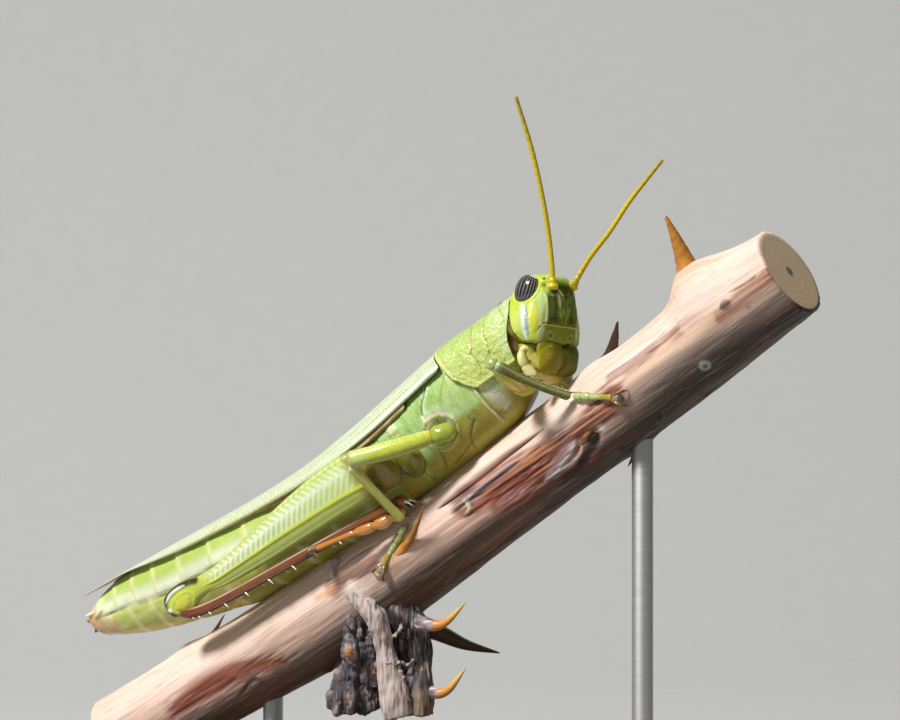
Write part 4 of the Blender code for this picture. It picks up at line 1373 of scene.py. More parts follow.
    @staticmethod
    def seams() -> list[Mark]:
        """The seams, ridges, rings and patches of one side.

        Returns:
            The marks, in the order in which they are laid.
        """
        dashed = [(4.1, -3.3, 3.9), (2.4, -2.85, 3.16), (1.6, -3.47, 2.37), (0.79, -3.79, 1.51),
                  (0.4, -4.1, 0.4)]
        second = [(5.6, -3.3, 3.9), (4.63, -3.47, 2.65), (3.92, -3.81, 1.74), (3.06, -4.14, 0.45)]
        ring_points = [
            (3.03, -4.14, 0.04), (4.15, -4.12, -1.2), (3.6, -3.83, -2.6), (1.82, -3.59, -3.4),
            (0.45, -3.75, -3.0),
            (-0.2, -4.1, -1.8), (0.3, -4.15, -0.4), (1.4, -4.15, 0.2), (3.03, -4.14, 0.04),
        ]
        hip = [(px - 0.65, py, pz - 0.35) for px, py, pz in ring_points]
        patch = [(0.5, -4.2, -0.8), (1.1, -4.2, -0.2), (1.9, -4.2, -0.1), (2.7, -4.2, -0.5),
                 (3.0, -4.2, -1.3)]
        inner = [((px - 1.4) * 0.8 + 1.4, py, (pz + 2.0) * 0.8 - 2.0) for px, py, pz in hip]
        ridge = [(7.32, -3.94, 0.02), (7.28, -3.94, -1.13), (7.33, -3.62, -2.43), (7.39, -3.06, -3.55),
                 (7.35, -2.08, -4.47)]
        plates = (
            [(5.2, -3.6, -2.9), (3.94, -3.31, -3.75), (3.17, -2.72, -4.49), (2.67, -1.11, -5.31)],
            [(3.17, -2.72, -4.49), (1.21, -1.84, -5.08), (-0.17, -1.29, -5.34)],
            [(-0.18, -3.71, -3.28), (-0.55, -3.03, -4.3), (-1.36, -1.54, -5.28)],
            [(-2.5, -4.0, -2.0), (-3.1, -3.9, -3.2), (-3.3, -3.2, -4.5), (-3.4, -1.5, -5.5)],
        )
        return [
            Mark([(px + 0.28, py, pz) for px, py, pz in dashed[1:]], 0.24, 0.04, Tone.WHITE, 0.55),
            Mark(dashed, 0.1, -0.16, Tone.UMBER, 0.95),
            Mark(second, 0.08, -0.12, Tone.OLIVE, 0.9),
            Mark([(1.4, -4.1, -1.9)], 1.5, -0.25, Tone.OLIVE, 0.6, 4.0),
            Mark(patch, 0.75, 0.15, Tone.MEMBRANE, 0.95, 4.0, False),
            Mark(hip, 0.15, 0.2, Tone.BUTTER, 0.65, 2.0, False),
            Mark(inner[3:9], 0.1, 0.1, Tone.BUTTER, 0.5, 2.0, False),
            Mark([(1.7, -4.2, -0.6)], 0.16, -0.06, Tone.RUST, 0.75),
            Mark([(2.2, -4.2, -1.0), (2.6, -4.2, -1.2)], 0.1, -0.05, Tone.RUST, 0.6),
            Mark([(2.75, -4.2, -2.2)], 0.3, 0.08, Tone.WHITE, 0.6),
            Mark([(0.3, -4.1, -0.2), (0.3, -4.1, 0.6)], 0.28, 0.12, Tone.CREAM, 0.8),
            # Painted shade: a dark moss patch low on the side.
            Mark([(5.9, -3.9, -2.1), (4.9, -3.9, -2.9)], 0.9, 0.0, Tone.MOSS, 0.35),
            Mark([(-2.7, -3.9, -2.8), (-1.5, -3.4, -2.5)], 0.8, 0.05, Tone.LEAF, 0.6, 3.0),
            Mark([(-2.9, -4.0, -3.0), (-3.6, -3.6, -5.2)], 0.4, 0.15, Tone.LIME, 0.7),
            Mark([(8.3, -3.8, -0.8), (8.8, -3.4, -2.4), (8.6, -2.8, -3.6)], 0.85, -0.12, Tone.MEMBRANE, 0.9),
            Mark([(px + 0.22, py, pz) for px, py, pz in ridge], 0.1, -0.1, Tone.RUST, 0.9, 2.0, False),
            Mark(ridge, 0.15, 0.2, Tone.CREAM, 0.85, 2.0, False),
            Mark([(-3.3, -4.1, 1.2), (-4.5, -3.9, 1.6)], 0.55, 0.12, Tone.CREAM, 0.6, 3.0),
            Mark([(-3.0, -4.1, 0.6), (-4.8, -3.9, 0.9)], 0.1, -0.06, Tone.AMBER, 0.7),
            Mark([(-5.4, -4.0, -2.5)], 1.6, 0.1, Tone.OLIVE, 0.6, 4.0),
            Mark([(-6.4, -3.6, -5.0), (-5.4, -3.4, -5.3)], 0.5, 0.0, Tone.AMBER, 0.5, 2.0),
            *(Mark(route, 0.09, -0.13, Tone.RUST, 0.85, 2.0, False) for route in plates),
        ]

    def build(self) -> None:
        """Builds both."""
        self.saddle()
        self.walls()


@dataclass
class Wings:
    """The folded wings: two wing covers over the strips of the hindwings that show beside them."""

    back_line: Route = (
        (-50.8, 6.8), (-45.0, 6.3), (-39.0, 5.72), (-33.0, 5.15), (-23.0, 4.2), (-16.0, 3.98),
        (-8.0, 4.35),
        (-2.0, 4.95), (4.2, 5.45),
    )
    half_width: Route = (
        (-50.8, 0.35), (-49.6, 1.35), (-46.0, 2.3), (-38.0, 3.00), (-24.0, 3.5), (-8.0, 3.75), (4.2, 3.7),
    )
    drop: Route = (
        (-50.8, 0.05), (-46.0, 0.1), (-42.5, 0.15), (-38.0, 0.6), (-34.0, 0.95), (-28.0, 1.15), (-22.0, 1.3),
        (-17.0, 1.55), (-5.0, 1.85), (4.2, 1.6),
    )
    thick: float = 0.5
    cover_rows: int = 430
    hindwing_rows: int = 300
    hindwing_nest: float = 0.965
    hindwing_under: float = 0.16
    middle_gap: float = 0.06
    cover_ends: tuple[float, float] = (4.0, -50.8)
    hindwing_ends: tuple[float, float] = (-1.0, -46.5)
    hindwing_reach: Route = ((-46.5, 0.62), (-27.0, 0.82), (-16.0, 1.0), (-1.0, 1.0))
    veins: tuple[float, ...] = (0.06, 0.2, 0.33, 0.46, 0.57, 0.67, 0.76, 0.84, 0.92)
    cover_shell: Cuticle = Cuticle(
        "wing cover", BODY, roughness=0.34, coat=0.3, mottle=0.12, mottle_size=(1.6, 0.5, 0.5), grains=0.3,
        pits=0.0, grain_size=0.4, relief=0.03, relief_size=(0.7, 0.12, 0.12)
    )
    film: Cuticle = Cuticle("hindwing film", BODY, roughness=0.4, coat=0.2, mottle=0.2,
                            mottle_size=(1.6, 0.4, 0.4), relief=0.03, relief_size=(0.9, 0.12, 0.12))

    def grid(self, x: np.ndarray, side: Side, layer: float, nest: float, reach: np.ndarray, lag: np.ndarray,
             strips: int = 42) -> tuple[np.ndarray, np.ndarray, np.ndarray]:
        """A folded wing: a flat top that bends down at its outer edge, with its thickness below.

        Args:
            x: The rows' places along the body.
            side: Which side.
            layer: How deep it lies under the wing cover's top.
            nest: Its width as a share of the wing cover's.
            reach: How much of that width each row covers.
            lag: How far each row follows the saddle's hind margin.
            strips: Points across one face.

        Returns:
            The grid of points, the share across at each column, and 1 for the columns of the top face.
        """
        share = np.linspace(0.0, 1.0, strips)
        share = np.concatenate([share, share[::-1], share[:1]])[None, :]
        top = np.concatenate([np.ones(strips), np.zeros(strips), [1.0]])[None, :]
        at = x[:, None]
        half_width, drop = smooth(self.half_width, at) * nest, smooth(self.drop, at)
        y = self.middle_gap + (half_width * reach[:, None] - self.middle_gap) * share
        saddle = Thorax()
        angle = np.arcsin(np.clip(y / saddle.saddle_half_width, 0, 1) ** (1 / saddle.roundness))
        along = at + lag[:, None] * (saddle.hind(angle / saddle.saddle_turn) - saddle.saddle_hind[0])
        height = smooth(self.back_line, at) - layer - drop * (y / half_width) ** 3
        ends = np.linspace(0.0, 1.0, len(x))[:, None]
        thick = self.thick * ease(ends, 0.0, 0.01) * ease(-ends, -1.0, -0.95) * (1.0 - 0.5 * share**4)
        thick = thick * (0.35 + 0.65 * ease(at, -45.0, -32.0))
        thick[0], thick[-1] = 0.0, 0.0
        under = 1.0 - top
        points = np.stack([along, side.value * (y - 0.12 * share * under * ease(ends, 0, 0.01)),
                          height - thick * under], axis=2)
        points[:, -1] = points[:, 0]
        return points, share, top

    def veined(self, skin: Skin, share: np.ndarray, top: np.ndarray, tone: Tone, depth: float) -> None:
        """Raises long veins that close up outwards, and short ones across between them.

        Args:
            skin: The wing.
            share: The share across at each column.
            top: 1 for the columns of the top face.
            tone: The colour of the veins.
            depth: How far they stand up.
        """
        x, edge = skin.points[..., 0], 0.5 * np.sin(skin.points[..., 0] * 0.35)
        relief = np.zeros(skin.points.shape[:2])
        for number, place in enumerate(self.veins):
            line = place + 0.012 * np.sin(x * 0.22 + number * 1.7) + 0.004 * edge
            relief = np.maximum(relief, bell(share, line, 0.0135))
        cell = np.searchsorted(np.array(self.veins), share[0])[None, :]
        pitch = 0.62 - 0.04 * (cell % 3)
        phase = x / pitch + 0.37 * cell + 0.35 * cloud(skin.points, 1.3, 9)
        across = bell((phase % 1.0 - 0.5) * pitch, 0.0, 0.055)
        relief = np.maximum(relief, 0.6 * across) * top
        skin.paint(tone, 0.8 * relief).swell(depth * relief * ease(share * (1 - share), 0, 0.004))

    def cover(self, side: Side, finish: Finish) -> None:
        """Builds one wing cover.

        Args:
            side: Which side.
            finish: Its material.
        """
        share_along = np.linspace(0.0, 1.0, self.cover_rows)
        x = self.cover_ends[0] + (self.cover_ends[1] - self.cover_ends[0]) * share_along
        points, share, top = self.grid(x, side, 0.0, 1.0, np.ones(len(x)), (1 - share_along) ** 3)
        skin = Skin(points, Tone.STRAW)
        at = points[..., 0]
        skin.paint(Tone.LEAF, 0.25 + 0.25 * cloud(points, (3.0, 0.6, 0.6), 11))
        skin.paint(Tone.SILVER, 0.4 * ease(-at, 32.0, 42.0)).paint(Tone.TAN, 0.6 * ease(-at, 40.0, 46.0))
        skin.paint(Tone.RUST, 0.5 * ease(-at, 43.0, 49.0))
        self.veined(skin, share, top, Tone.WHITE, 0.05)
        costal = bell(share, 0.985, 0.05) * top
        skin.paint(Tone.WHITE, 0.8 * costal * ease(at, -22.0, -2.0))
        skin.paint(Tone.TAN, 0.5 * costal * ease(-at, 8.0, 20.0))
        skin.paint(Tone.RUST, 0.7 * ease(-at, 49.2, 50.6))
        skin.swell(0.12 * bell(at, 3.0, 0.8) * top * ease(share, 0.3, 0.7))
        shown(skin.piece(f"wing_cover_{side.word}", BODY), finish, Slot.WING_COVER, [f"tegmen_{side.word}"])

    def hindwing(self, side: Side, finish: Finish) -> None:
        """Builds one folded hindwing.

        Args:
            side: Which side.
            finish: Its material.
        """
        start, end = self.hindwing_ends
        x = np.linspace(start, end, self.hindwing_rows)
        reach, layer = smooth(self.hindwing_reach, x), self.thick + self.hindwing_under
        points, _, _ = self.grid(x, side, layer, self.hindwing_nest, reach, np.zeros(len(x)), 24)
        skin = Skin(points, Tone.TAN)
        skin.paint(Tone.RUST, 0.15 + 0.25 * cloud(points, (2.0, 0.3, 0.3), 12))
        skin.paint(Tone.CREAM, 0.35 * (cloud(points, (5.0, 0.16, 0.16), 13) > 0.25))
        shown(skin.piece(f"hindwing_fold_{side.word}", BODY), finish, Slot.HINDWING,
              [f"hindwing_{side.word}"])

    def build(self) -> None:
        """Builds all four wings."""
        cover, film = self.cover_shell.material(), self.film.material()
        for side in Side:
            self.cover(side, cover)
            self.hindwing(side, film)


@dataclass
class Abdomen:
    """The abdomen: overlapping rings with a fold along each side, and the egg-laying tip."""

    stations: Route = (
        (-51.9, 4.3, 3.3, 0.3),
        (-51.6, 4.7, 2.7, 0.8),
        (-51.0, 5.0, 1.9, 1.3),
        (-50.0, 5.25, 1.25, 1.75),
        (-48.4, 5.7, 0.5, 2.2),
        (-45.5, 6.0, -0.8, 2.55),
        (-42.0, 5.8, -2.05, 2.95),
        (-37.0, 5.25, -3.5, 3.3),
        (-31.0, 4.5, -5.1, 3.6),
        (-25.0, 3.6, -5.5, 3.7),
        (-20.0, 2.9, -5.9, 3.75),
        (-12.0, 2.85, -6.1, 3.8),
        (-6.7, 3.1, -6.05, 3.9),
    )
    margins: tuple[float, ...] = (-11.3, -16.3, -21.4, -26.5, -31.7, -36.3, -40.2, -43.4, -46.4)
    fold: Route = ((-50.0, 3.6), (-46.2, 2.9), (-42.5, 2.1), (-38.8, 1.3), (-30.0, 0.3), (-18.0, -0.7),
                   (-6.0, -1.6))
    hair_count: int = 26
    valve_shapes: tuple[tuple[Route, tuple[float, ...], Tone], ...] = (
        (((-50.6, -0.35, 4.1), (-51.6, -0.38, 4.0), (-52.2, -0.3, 4.3)), (0.42, 0.3, 0.08), Tone.RUST),
        (((-50.6, -0.35, 2.9), (-51.5, -0.38, 2.9), (-52.1, -0.3, 2.7)), (0.4, 0.3, 0.08), Tone.UMBER),
        (((-49.8, -1.3, 4.5), (-50.7, -1.35, 4.6), (-51.3, -1.3, 4.8)), (0.25, 0.2, 0.06), Tone.CREAM),
    )
    shell: Cuticle = Cuticle("abdomen shell", BODY, roughness=0.27, coat=0.5, mottle=0.14,
                             mottle_size=(1.2, 0.8, 0.8), grains=0.12, pits=0.0, grain_size=0.3, relief=0.018)

    def rings(self) -> None:
        """Builds the ringed skin."""
        skin = Skin(trunk(self.stations, -6.8, -51.9, rows=430, columns=150, squareness=2.5), Tone.LIME)
        x, _, z = skin.xyz
        fold = smooth(self.fold, x)
        upper, lower = ease(z - fold, -0.15, 0.15), ease(fold - z, -0.15, 0.15)
        skin.paint(Tone.GRASS, 0.25 + 0.45 * upper * ease(z - fold, 1.2, 2.4)).paint(Tone.LEMON, 0.25 * lower)
        skin.paint(Tone.LEAF, 0.3 * upper * ease(z - fold, 1.8, 3.0)).paint(Tone.OLIVE, 0.2 * lower)
        # Olive-brown towards the underside: the plates' own olive together with painted shade.
        skin.paint(Tone.BELLY, 0.75 * ease(fold - z, 1.2, 4.4))
        # Painted highlight: a cream and white band along the rear half, just above the side fold.
        shine = bell(z - fold, 0.9, 0.75) * ease(-x, 20.0, 30.0)
        skin.paint(Tone.CREAM, 0.5 * upper * ease(fold + 1.8 - z, 0.0, 1.2) * ease(-x, 22.0, 30.0))
        skin.paint(Tone.WHITE, 0.6 * shine)
        relief = np.zeros(x.shape)
        for place in self.margins:
            line = place + 0.16 * (z - 1.5) * upper - 1.7 * lower * ease(-x, 30.0, 38.0)
            before = x - line
            relief += 0.13 * ease(-before, -4.2, -0.2) * ease(before, -0.14, 0.0) * (before < 4.4)
            skin.paint(Tone.CREAM, 0.5 * bell(before, 0.2, 0.36))
            skin.paint(Tone.BUTTER, 0.5 * bell(before, -0.15, 0.2))
        relief -= 0.28 * bell(z, fold, 0.14) * ease(-x, 8.0, 12.0) * ease(x, -50.0, -47.0)
        relief += 0.05 * cloud(skin.points, (0.9, 0.7, 0.7), 15)
        skin.paint(Tone.RUST, 0.6 * bell(z, fold, 0.09) * ease(x, -49.0, -47.0))
        skin.swell(relief * ease(-x, 6.8, 7.3) * ease(x, -51.8, -51.0))
        skin.paint(Tone.CREAM, 0.6 * ease(-x, 46.5, 49.0))
        skin.paint(Tone.TAN, 0.85 * ease(-x - 0.75 * z, 45.3, 47.3))
        skin.paint(Tone.AMBER, 0.5 * ease(-x, 48.8, 50.8))
        skin.paint(Tone.RUST, 0.75 * ease(-x - 0.6 * z, 48.6, 50.0))
        skin.mark_sides([
            Mark([(-47.6, -1.9, 2.0)], 0.4, 0.0, Tone.AMBER, 0.9),
            Mark([(-48.3, -1.4, 4.2), (-49.9, -0.8, 3.9)], 0.2, 0.16, Tone.CREAM, 0.5),
        ])
        nodes = ["abdomen_front", "abdomen_middle", "abdomen_rear", "ovipositor"]
        pieces = [skin.piece("rings", BODY), *self.valves(), *self.hairs()]
        shown(joined("abdomen_rings", pieces), self.shell.material(), Slot.PALE, nodes)

    def valves(self) -> list[Piece]:
        """The hooked valves and short tail feelers at the tip.

        Returns:
            The pieces.
        """
        made = []
        for (route, sizes, tone), side in itertools.product(self.valve_shapes, Side):
            made.append(Skin(tube(side.of(route), sizes, rows=24, columns=16), tone).piece("valve", BODY))
        return made

    def hairs(self) -> list[Piece]:
        """A few short pale hairs round the tip.

        Returns:
            The pieces.
        """
        chance, made = np.random.default_rng(4), []
        for _ in range(self.hair_count):
            turn, reach = chance.uniform(0.2, math.pi - 0.2), chance.uniform(0.45, 0.8)
            root = np.array((-49.2 - chance.uniform(0, 0.8), 1.2 * math.cos(turn),
                            3.9 + 0.9 * math.sin(turn)))
            tip = root + reach * np.array((-0.7, 0.5 * math.cos(turn), 0.7 * math.sin(turn)))
            hair = Skin(spike(root, tip, 0.022, bow=0.0, rows=4, columns=5), Tone.WHITE)
            made.append(hair.piece("hair", BODY))
        return made

    def build(self) -> None:
        """Builds the abdomen."""
        self.rings()


@dataclass(frozen=True)
class Thorn:
    """A thorn: where it stands on the cane, its tip, half thickness and colour, and the rise round it."""

    x: float
    degrees: float
    tip: Point
    half_thick: float
    tone: Tone
    rise: float
    back: float
    ahead: float


@dataclass
class Cane:
    """The cut length of thorny cane that the animal climbs."""

    axis: Route = (
        (-57.0, -8.5), (-41.0, -9.65), (-25.0, -10.75), (-10.0, -10.85), (8.0, -10.25), (26.0, -9.55),
        (42.0, -8.65),
    )
    half_thick: Route = ((-57.0, 4.75), (-38.0, 4.9), (-24.0, 5.35), (-12.0, 4.95), (10.0, 4.8), (42.0, 4.7))
    thorns: tuple[Thorn, ...] = (
        Thorn(-43.0, 12.0, (-37.4, 1.6, -3.9), 0.75, Tone.THORN, 0.5, 2.0, 2.6),
        Thorn(-11.6, -77.0, (-3.6, -6.9, -7.25), 0.85, Tone.THORN, 0.4, 1.5, 2.0),
        Thorn(18.0, 22.0, (22.2, 2.2, -2.6), 1.5, Tone.UMBER, 0.5, 2.0, 2.0),
        Thorn(32.7, -4.0, (34.3, -0.3, 3.0), 2.05, Tone.THORN, 2.3, 2.3, 5.2),
        Thorn(17.2, 166.0, (14.6, 1.0, -15.6), 0.6, Tone.UMBER, 0.5, 1.6, 1.6),
    )
    mean_half_thick: float = 4.9
    cap_rows: int = 14
    end_inset: float = 0.18
    root_depth: float = 0.9
    torn_patches: tuple[tuple[Route, float, float], ...] = (
        (((-1.0, -4.5, -9.4), (5.0, -4.7, -9.8), (11.0, -4.7, -10.2), (17.5, -4.6, -9.9), (20.0, -4.4, -9.0)),
         2.0, 1.0),
        (((3.0, -4.5, -11.4), (8.0, -4.5, -11.8), (13.5, -4.2, -12.4)), 1.9, 0.8),
        (((-45.8, -4.7, -9.8), (-36.0, -4.8, -10.3), (-30.0, -4.7, -11.8)), 1.3, 0.5),
        (((-19.5, -4.7, -8.9), (-14.0, -4.4, -9.0)), 1.5, 0.6),
        (((21.0, -4.2, -7.6), (30.3, -4.1, -7.4)), 0.9, 0.6),
        (((35.0, -4.6, -8.6), (42.0, -4.6, -8.2)), 0.9, 0.6),
    )
    torn_layers: tuple[tuple[Tone, int, float, float, float, float], ...] = (
        (Tone.BRICK, 28, -1.2, -0.5, 0.85, 0.03),
        (Tone.MAROON, 31, -0.1, 0.4, 0.7, -0.07),
        (Tone.AMBER, 30, 0.3, 0.8, 0.45, 0.03),
        (Tone.LILAC, 29, 0.4, 0.8, 0.5, 0.03),
        (Tone.BLACK, 32, 0.3, 0.65, 0.75, -0.07),
        (Tone.WHITE, 33, 0.62, 0.9, 0.55, 0.03),
    )
    bow: float = 0.06
    rows: int = 430
    columns: int = 200
    bark: Bark = Bark("cane bark", BODY, streak_size=(7.0, 0.22, 0.22), streaks=0.36, relief=0.06,
                      roughness=0.5)
    horn: Cuticle = Cuticle("thorn", BODY, roughness=0.4, coat=0.2, mottle=0.0, mottle_size=(1.5, 0.5, 0.5),
                            relief=0.03, relief_size=(0.6, 0.2, 0.2))

    def point(self, x: float, degrees: float, height: float = 0.0) -> np.ndarray:
        """A point over the bark, at an angle from the top line that is negative on the right."""
        reach, turn = float(smooth(self.half_thick, x)) + height, math.radians(degrees)
        return np.array((x, reach * math.sin(turn), float(smooth(self.axis, x)) + reach * math.cos(turn)))

    def even(self, points: np.ndarray) -> np.ndarray:
        """The points brought to the even bark below its flutes and swellings.

        Args:
            points: Points of the stem.

        Returns:
            The points on the even bark.
        """
        x = points[..., 0]
        y, z = points[..., 1], points[..., 2] - smooth(self.axis, x)
        scale = smooth(self.half_thick, x) / np.maximum(np.hypot(y, z), 1e-6)
        return np.stack([x, y * scale, z * scale + smooth(self.axis, x)], axis=-1)

    def away(self, point: np.ndarray) -> np.ndarray:
        """The unit direction from the cane's axis to a point beside it."""
        return unit(point - np.array((point[0], 0.0, float(smooth(self.axis, point[0])))))

    def stem(self) -> None:
        """Builds the stem, with its flutes, scars and cut ends, painted light along its top and painted shade
        below.
        """
        start, end = self.axis[0][0], self.axis[-1][0]
        cap, rows = np.linspace(0.0, 0.965, self.cap_rows), self.rows
        between = np.linspace(start + self.end_inset, end - self.end_inset, rows)
        x = np.concatenate([np.full(self.cap_rows, start), between, np.full(self.cap_rows, end)])
        size = np.concatenate([cap, np.ones(rows), cap[::-1]])[:, None]
        turn = np.linspace(0.0, TAU, self.columns + 1)
        turn = (turn - 0.45 * np.cos(turn) + 0.45)[None, :]
        reach, middle = smooth(self.half_thick, x)[:, None] * size, smooth(self.axis, x)[:, None]
        y, z = reach * np.sin(turn), middle + reach * np.cos(turn)
        y[:, -1], z[:, -1] = y[:, 0], z[:, 0]
        skin = Skin(np.stack([np.broadcast_to(x[:, None], y.shape), y, z], axis=2), Tone.BARK)
        points, up = skin.points, (z - middle) / self.mean_half_thick
        body = (size > 0.99) & (x[:, None] > start) & (x[:, None] < end)
        long = cloud(points, (14.0, 1.6, 1.6), 21)
        # Painted light: the top of the stem is paled to rose.
        skin.paint(Tone.ROSE, 0.9 * ease(up + 0.2 * long, -0.3, 0.55))
        skin.paint(Tone.TAN, 0.35 * ease(cloud(points, (6.0, 0.35, 0.35), 20), 0.0, 0.6))
        flank = ease(-np.abs(up + 0.05) + 0.2 * long, -0.5, 0.0)
        skin.paint(Tone.TAN, 0.55 * flank * ease(points[..., 0], 12.0, 20.0))
        # Painted shade: the underside darkens through grey bark and umber, and to black towards the head end.
        skin.paint(Tone.GREY_BARK, 0.9 * ease(-up + 0.3 * long, -0.3, 0.5))
        skin.paint(Tone.UMBER, 0.92 * ease(-up + 0.3 * long, 0.1, 0.9))
        skin.paint(Tone.BLACK, 0.65 * ease(-up + 0.3 * long, 0.3, 0.75) * ease(points[..., 0], 1.0, 9.0))
        skin.paint(Tone.BRICK, 0.3 * ease(cloud(points, (9.0, 0.7, 0.7), 22) - 0.4 * up, 0.3, 0.9))
        relief = 0.14 * long + 0.06 * cloud(points, (4.0, 0.5, 0.5), 24)
        relief += 0.05 * cloud(points, (1.6, 0.22, 0.22), 25) * ease(-up, -0.3, 0.6)
        relief += self.torn(skin)
        skin.mark(self.marks(), self.even)
        for thorn in self.thorns:
            past = points[..., 0] - thorn.x
            gap = (past / np.where(past > 0, thorn.ahead, thorn.back)) ** 2
            gap = gap + (self.apart(turn, thorn.degrees) * self.mean_half_thick
                         / (1.6 * thorn.half_thick + 0.4)) ** 2
            relief = relief + thorn.rise * np.exp(-gap)
            skin.paint(thorn.tone, 0.5 * np.exp(-gap * 3.0))
        skin.swell(relief * body)
        rings = 0.5 + 0.5 * np.sin(size * 40.0 + 1.5 * cloud(points, 1.4, 26))
        cut = ~body & (size < 0.9)
        skin.paint(Tone.WOOD, cut * 1.0).paint(Tone.TAN, 0.6 * rings * cut)
        skin.paint(Tone.UMBER, 0.9 * cut * ease(-size, -0.16, -0.08))
        shown(skin.piece("cane_stem", BODY), self.bark.material(), Slot.CANE, ["perch_cane"])

    @staticmethod
    def apart(turn: np.ndarray, degrees: float) -> np.ndarray:
        """The angle in radians between the columns and one angle from the top line."""
        return (turn - math.radians(degrees) + math.pi) % TAU - math.pi

    def torn(self, skin: Skin) -> np.ndarray:
        """Paints the torn bark along the right side in streaks of many colours, and gives their heights.

        Args:
            skin: The stem's skin.

        Returns:
            The height of the torn layers at each point.
        """
        points = skin.points
        places = self.even(points).reshape(-1, 3)
        height = np.zeros(points.shape[:2])
        uneven = 0.5 * cloud(points, (2.0, 0.5, 0.5), 27)
        for route, reach, strength in self.torn_patches:
            gap = nearest(places, route)[0].reshape(height.shape) + uneven
            near = strength * ease(-gap, -reach, -0.4 * reach)
            for tone, seed, low, high, cover, rise in self.torn_layers:
                streak = cloud(points, (4.6, 0.26, 0.26), seed)
                streak = ease(streak + 0.35 * cloud(points, (1.4, 0.12, 0.12), seed), low, high)
                skin.paint(tone, cover * near * streak)
                height += near * streak * rise
        return height

